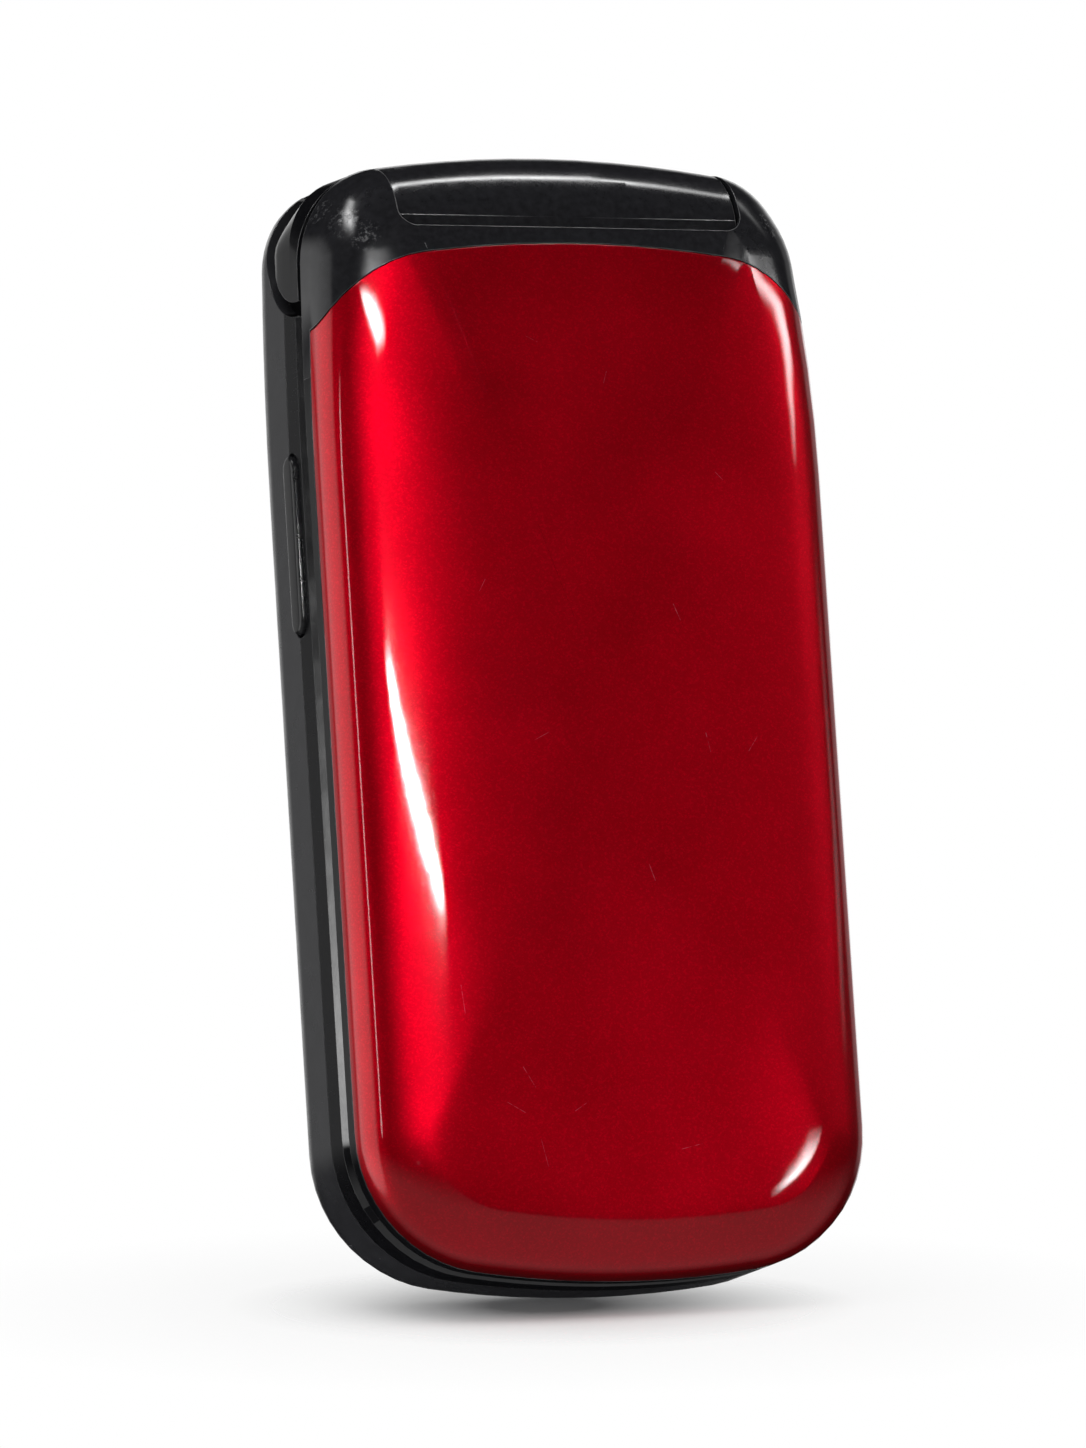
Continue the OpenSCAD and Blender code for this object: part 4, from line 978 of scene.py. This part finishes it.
# bright cards: how bright, where the soft width starts and ends, and the outline as directions
# that are given right, up and back as the camera sees them
glowCards = {
    "upperLeft": (70.0, 0.3, 1.05, [
        (-0.283, 0.505, 0.815), (-0.147, 0.516, 0.844), (-0.01, 0.51, 0.86), (0.104, 0.479, 0.872),
        (0.158, 0.446, 0.881), (0.06, 0.446, 0.893), (-0.036, 0.465, 0.884), (-0.193, 0.49, 0.85)]),
    "longLeft": (260.0, 0.0, 1.0, [
        (-0.029, 0.335, 0.942), (0.05, 0.341, 0.939), (0.122, 0.338, 0.934), (0.221, 0.333, 0.917),
        (0.309, 0.327, 0.894), (0.366, 0.32, 0.874), (0.385, 0.3135, 0.868),
        (0.36, 0.3135, 0.879), (0.306, 0.3175, 0.898), (0.216, 0.323, 0.921),
        (0.116, 0.327, 0.938), (0.043, 0.331, 0.942)]),
    "rightArc": (15.0, 0.1, 0.85, [
        (0.662, 0.52, 0.54), (0.82, 0.436, 0.371), (0.927, 0.374, -0.023),
        (0.899, 0.313, -0.305), (0.9, 0.284, -0.33), (0.946, 0.278, -0.166),
        (0.966, 0.255, -0.039), (0.958, 0.275, 0.085), (0.945, 0.316, 0.089),
        (0.935, 0.346, 0.074), (0.92, 0.369, 0.135), (0.872, 0.39, 0.296),
        (0.783, 0.446, 0.434), (0.664, 0.511, 0.546)]),
    "rightEdge": (0.6, -0.15, 1.15, [
        (0.93, 0.2, -0.31), (0.934, 0.159, -0.32), (0.972, 0.161, -0.171), (0.981, 0.162, -0.107),
        (0.948, 0.128, -0.293), (0.9, 0.12, -0.42), (0.86, 0.115, -0.5), (0.85, 0.16, -0.5)]),
    "lowerRight": (36.0, -0.9, 1.9, [
        (0.757, 0.081, 0.649), (0.779, 0.078, 0.622), (0.834, 0.105, 0.542), (0.97, 0.087, 0.227),
        (0.882, 0.144, 0.449), (0.814, 0.119, 0.568), (0.77, 0.1, 0.63)]),
    "barrelLine": (30.0, -0.6, 1.15, [
        (0.1, 0.97, -0.2), (0.3, 0.94, -0.17), (0.48, 0.87, -0.12), (0.48, 0.85, -0.2),
        (0.3, 0.92, -0.26), (0.1, 0.94, -0.32)]),
    "leftEar": (20.0, -0.1, 1.1, [
        (-0.6, 0.78, -0.1), (-0.55, 0.82, -0.15), (-0.52, 0.835, -0.051), (-0.409, 0.801, 0.437),
        (-0.425, 0.7, 0.57), (-0.6, 0.705, 0.334)]),
    "bevelLine": (9.0, 0.0, 1.0, [
        (-0.75, 0.08, 0.66), (-0.745, 0.16, 0.65), (-0.73, 0.24, 0.64), (-0.71, 0.32, 0.63),
        (-0.69, 0.38, 0.62), (-0.64, 0.38, 0.67), (-0.66, 0.32, 0.68), (-0.68, 0.24, 0.69),
        (-0.7, 0.16, 0.7), (-0.705, 0.08, 0.71)]),
    "rightEar": (3.0, -0.15, 1.15, [
        (0.45, 0.84, -0.3), (0.62, 0.72, -0.3), (0.8, 0.54, -0.25), (0.84, 0.44, -0.33),
        (0.7, 0.6, -0.4), (0.5, 0.76, -0.42)]),
}


def lamp(name, values):
    # lights matt surfaces only: the gloss mirrors the cards
    data = bpy.data.lights.new(name, "AREA")
    data.shape = "RECTANGLE"
    data.size, data.size_y = values["size"]
    data.energy = values["power"]
    light = addObject(name, data)
    towards = shotDir(*values["dir"])
    light.location = aimPoint + towards * studio["lampDistance"]
    side = Vector(shot["right"]) - towards * towards.dot(Vector(shot["right"]))
    side.normalize()
    light.rotation_euler = Matrix([side, towards.cross(side), towards]).transposed().to_euler()
    light.visible_glossy = False


for name in ("topLamp", "lowLamp"):
    lamp(name, studio[name])


def straightRays(tree):
    # 1 for what is seen, mirrored or looked through, 0 for the light that matt surfaces get
    path = put(tree, "ShaderNodeLightPath").outputs
    return most(tree, path["Is Camera Ray"],
                most(tree, path["Is Glossy Ray"], path["Is Transmission Ray"]))


def lightWorld():
    world = bpy.data.worlds.new("whiteStudio")
    bpy.context.scene.world = world
    world.use_nodes = True
    tree = world.node_tree
    strength = spread(tree, straightRays(tree), 0.0, 1.0, studio["world"], 1.0)
    feed(tree, tree.nodes["Background"], {"Color": (1, 1, 1, 1), "Strength": strength})


lightWorld()


def glowOutput(tree, strength):
    glow = put(tree, "ShaderNodeEmission", {"Color": (1, 1, 1, 1), "Strength": strength})
    put(tree, "ShaderNodeOutputMaterial", {"Surface": glow.outputs[0]})


def addStage(name, verts, faces, material):
    piece = addObject(name, makeMesh(name, verts, faces))
    piece.data.materials.append(material)
    return piece


def onlyForGloss(card):
    card.visible_camera = card.visible_diffuse = False
    card.visible_shadow = card.visible_transmission = False


# the dark room round the phone: how bright its sides are, and between which shares of a
# direction (left to right, down to up, away from or to the camera) each one fades in
dome = {
    "leftWhite": 1.0, "behindGrey": 0.28, "belowGrey": 0.26, "front": 0.004,
    "leftSide": (-0.82, -0.88), "leftTop": (0.6, 0.3), "behindSide": (-0.58, -0.66),
    "behindWhite": (-0.84, -0.95), "behindTop": (0.5, 0.3), "behindLow": (-0.2, -0.08),
    "belowLow": (-0.05, -0.3), "belowSide": (-0.5, -0.1), "rows": 24, "columns": 48,
}


def darkDome():
    # white on the left, grey behind and below, and only there for the gloss to mirror
    mat, tree = emptyMaterial("darkDome")
    where = put(tree, "ShaderNodeNewGeometry").outputs["Position"]
    way = vec(tree, "NORMALIZE", vec(tree, "SUBTRACT", where, tuple(aimPoint)))
    right, up, back = (vec(tree, "DOT_PRODUCT", way, shot[k]) for k in ("right", "up", "back"))

    def fade(part, key, *levels):
        return spread(tree, part, *dome[key], *levels)

    behind = fade(back, "behindSide")
    left = times(tree, fade(right, "leftSide"), math2(tree, "SUBTRACT", 1.0, behind))
    left = times(tree, times(tree, left, fade(up, "leftTop")), dome["leftWhite"])
    grey = times(tree, behind, fade(back, "behindWhite", dome["behindGrey"], 1.0))
    grey = times(tree, grey, times(tree, fade(up, "behindTop"), fade(up, "behindLow")))
    below = times(tree, fade(up, "belowLow"), fade(back, "belowSide"))
    below = plus(tree, times(tree, below, dome["belowGrey"]), dome["front"])
    glowOutput(tree, plus(tree, left, plus(tree, grey, below)))
    verts, rows, cols = [], dome["rows"], dome["columns"]
    for j in range(rows + 1):
        lean = math.radians(1 + 178 * j / rows)
        for i in range(cols):
            a = 2 * math.pi * i / cols
            d = shotDir(math.sin(lean) * math.cos(a), math.sin(lean) * math.sin(a), math.cos(lean))
            verts.append(aimPoint + d * studio["domeDistance"])
    onlyForGloss(addStage("darkDome", verts, ringFaces(rows + 1, cols), mat))


darkDome()


cardFade = {"rows": 8, "ends": 4.0, "falloff": 2.2}  # across, towards the ends, how steep


def makeGlowCard(name, strength, start, end, directions):
    # a strip whose light fades out to its edges
    mat, tree = emptyMaterial(name + "Card")
    soft = put(tree, "ShaderNodeAttribute", attribute_name="soft").outputs["Fac"]
    glowOutput(tree, times(tree, soft, strength))
    points = [aimPoint + shotDir(*d) * studio["cardDistance"] for d in directions]
    half = len(points) // 2
    verts, weights, strip, rows = [], [], [], cardFade["rows"]
    for i in range(half):
        ends = min(1.0, cardFade["ends"] * min(i, half - 1 - i) / (half - 1))
        for k in range(rows + 1):
            verts.append(points[i].lerp(points[-1 - i], start + (end - start) * k / rows))
            weights.append(ends * math.sin(math.pi * k / rows) ** cardFade["falloff"])
    for i in range(half - 1):
        for k in range(rows):
            a = i * (rows + 1) + k
            strip.append((a, a + 1, a + rows + 2, a + rows + 1))
    card = addStage(name + "Card", verts, strip, mat)
    card.data.attributes.new("soft", "FLOAT", "POINT").data.foreach_set("value", weights)
    onlyForGloss(card)


for name, values in glowCards.items():
    makeGlowCard(name, *values)

# the plane that the far end stands on, kept only where the shadow falls
floorLook = {
    "tilt": 5.0,  # degrees that the camera looks down on it
    "middle": (-3, -43, 6),  # mm
    "half": 0.14, "glow": 0.03, "white": 0.92,
    "near": (0.004, 0.024, 1.0, 0.22), "wide": (0.01, 0.05, 1.0, 0.0),  # distance, then share
}


def standingFloor():
    tilt = math.radians(floorLook["tilt"])
    up = shotDir(0, math.cos(tilt), math.sin(tilt))
    across = shotDir(1, 0, 0)
    deep = up.cross(across)
    points = forms["base"].points.tolist() + forms["lid"].points.tolist()
    lowest = min((Vector(p) * mm).dot(up) for p in points)
    middle = Vector(floorLook["middle"]) * mm
    origin = middle - up * (middle.dot(up) - lowest)
    mat, tree = emptyMaterial("paleFloor")
    glow = put(tree, "ShaderNodeEmission", {"Color": (1, 1, 1, 1), "Strength": floorLook["glow"]})
    pale = put(tree, "ShaderNodeBsdfDiffuse", {"Color": (*[floorLook["white"]] * 3, 1)}).outputs[0]
    lit = put(tree, "ShaderNodeAddShader", {0: glow.outputs[0], 1: pale}).outputs[0]
    chosen = put(tree, "ShaderNodeMixShader", {0: straightRays(tree), 1: pale, 2: lit}).outputs[0]
    clear = put(tree, "ShaderNodeBsdfTransparent").outputs[0]
    far = vec(tree, "DISTANCE", place(tree), tuple(origin))
    kept = times(tree, spread(tree, far, *floorLook["near"]), spread(tree, far, *floorLook["wide"]))
    behind = put(tree, "ShaderNodeNewGeometry").outputs["Backfacing"]
    gone = most(tree, math2(tree, "SUBTRACT", 1.0, kept), behind)
    out = put(tree, "ShaderNodeMixShader", {0: gone, 1: chosen, 2: clear}).outputs[0]
    put(tree, "ShaderNodeOutputMaterial", {"Surface": out})
    half = floorLook["half"]
    corners = [origin + across * half * a + deep * half * b
               for a, b in ((-1, -1), (1, -1), (1, 1), (-1, 1))]
    floor = addStage("paleFloor", corners, [(0, 1, 2, 3)], mat)
    if floor.data.polygons[0].normal.dot(up) < 0:
        floor.data.flip_normals()
    floor.visible_glossy = floor.visible_shadow = False


standingFloor()
print("studio lit")

bpy.context.scene.view_settings.view_transform = "Standard"
print("done")
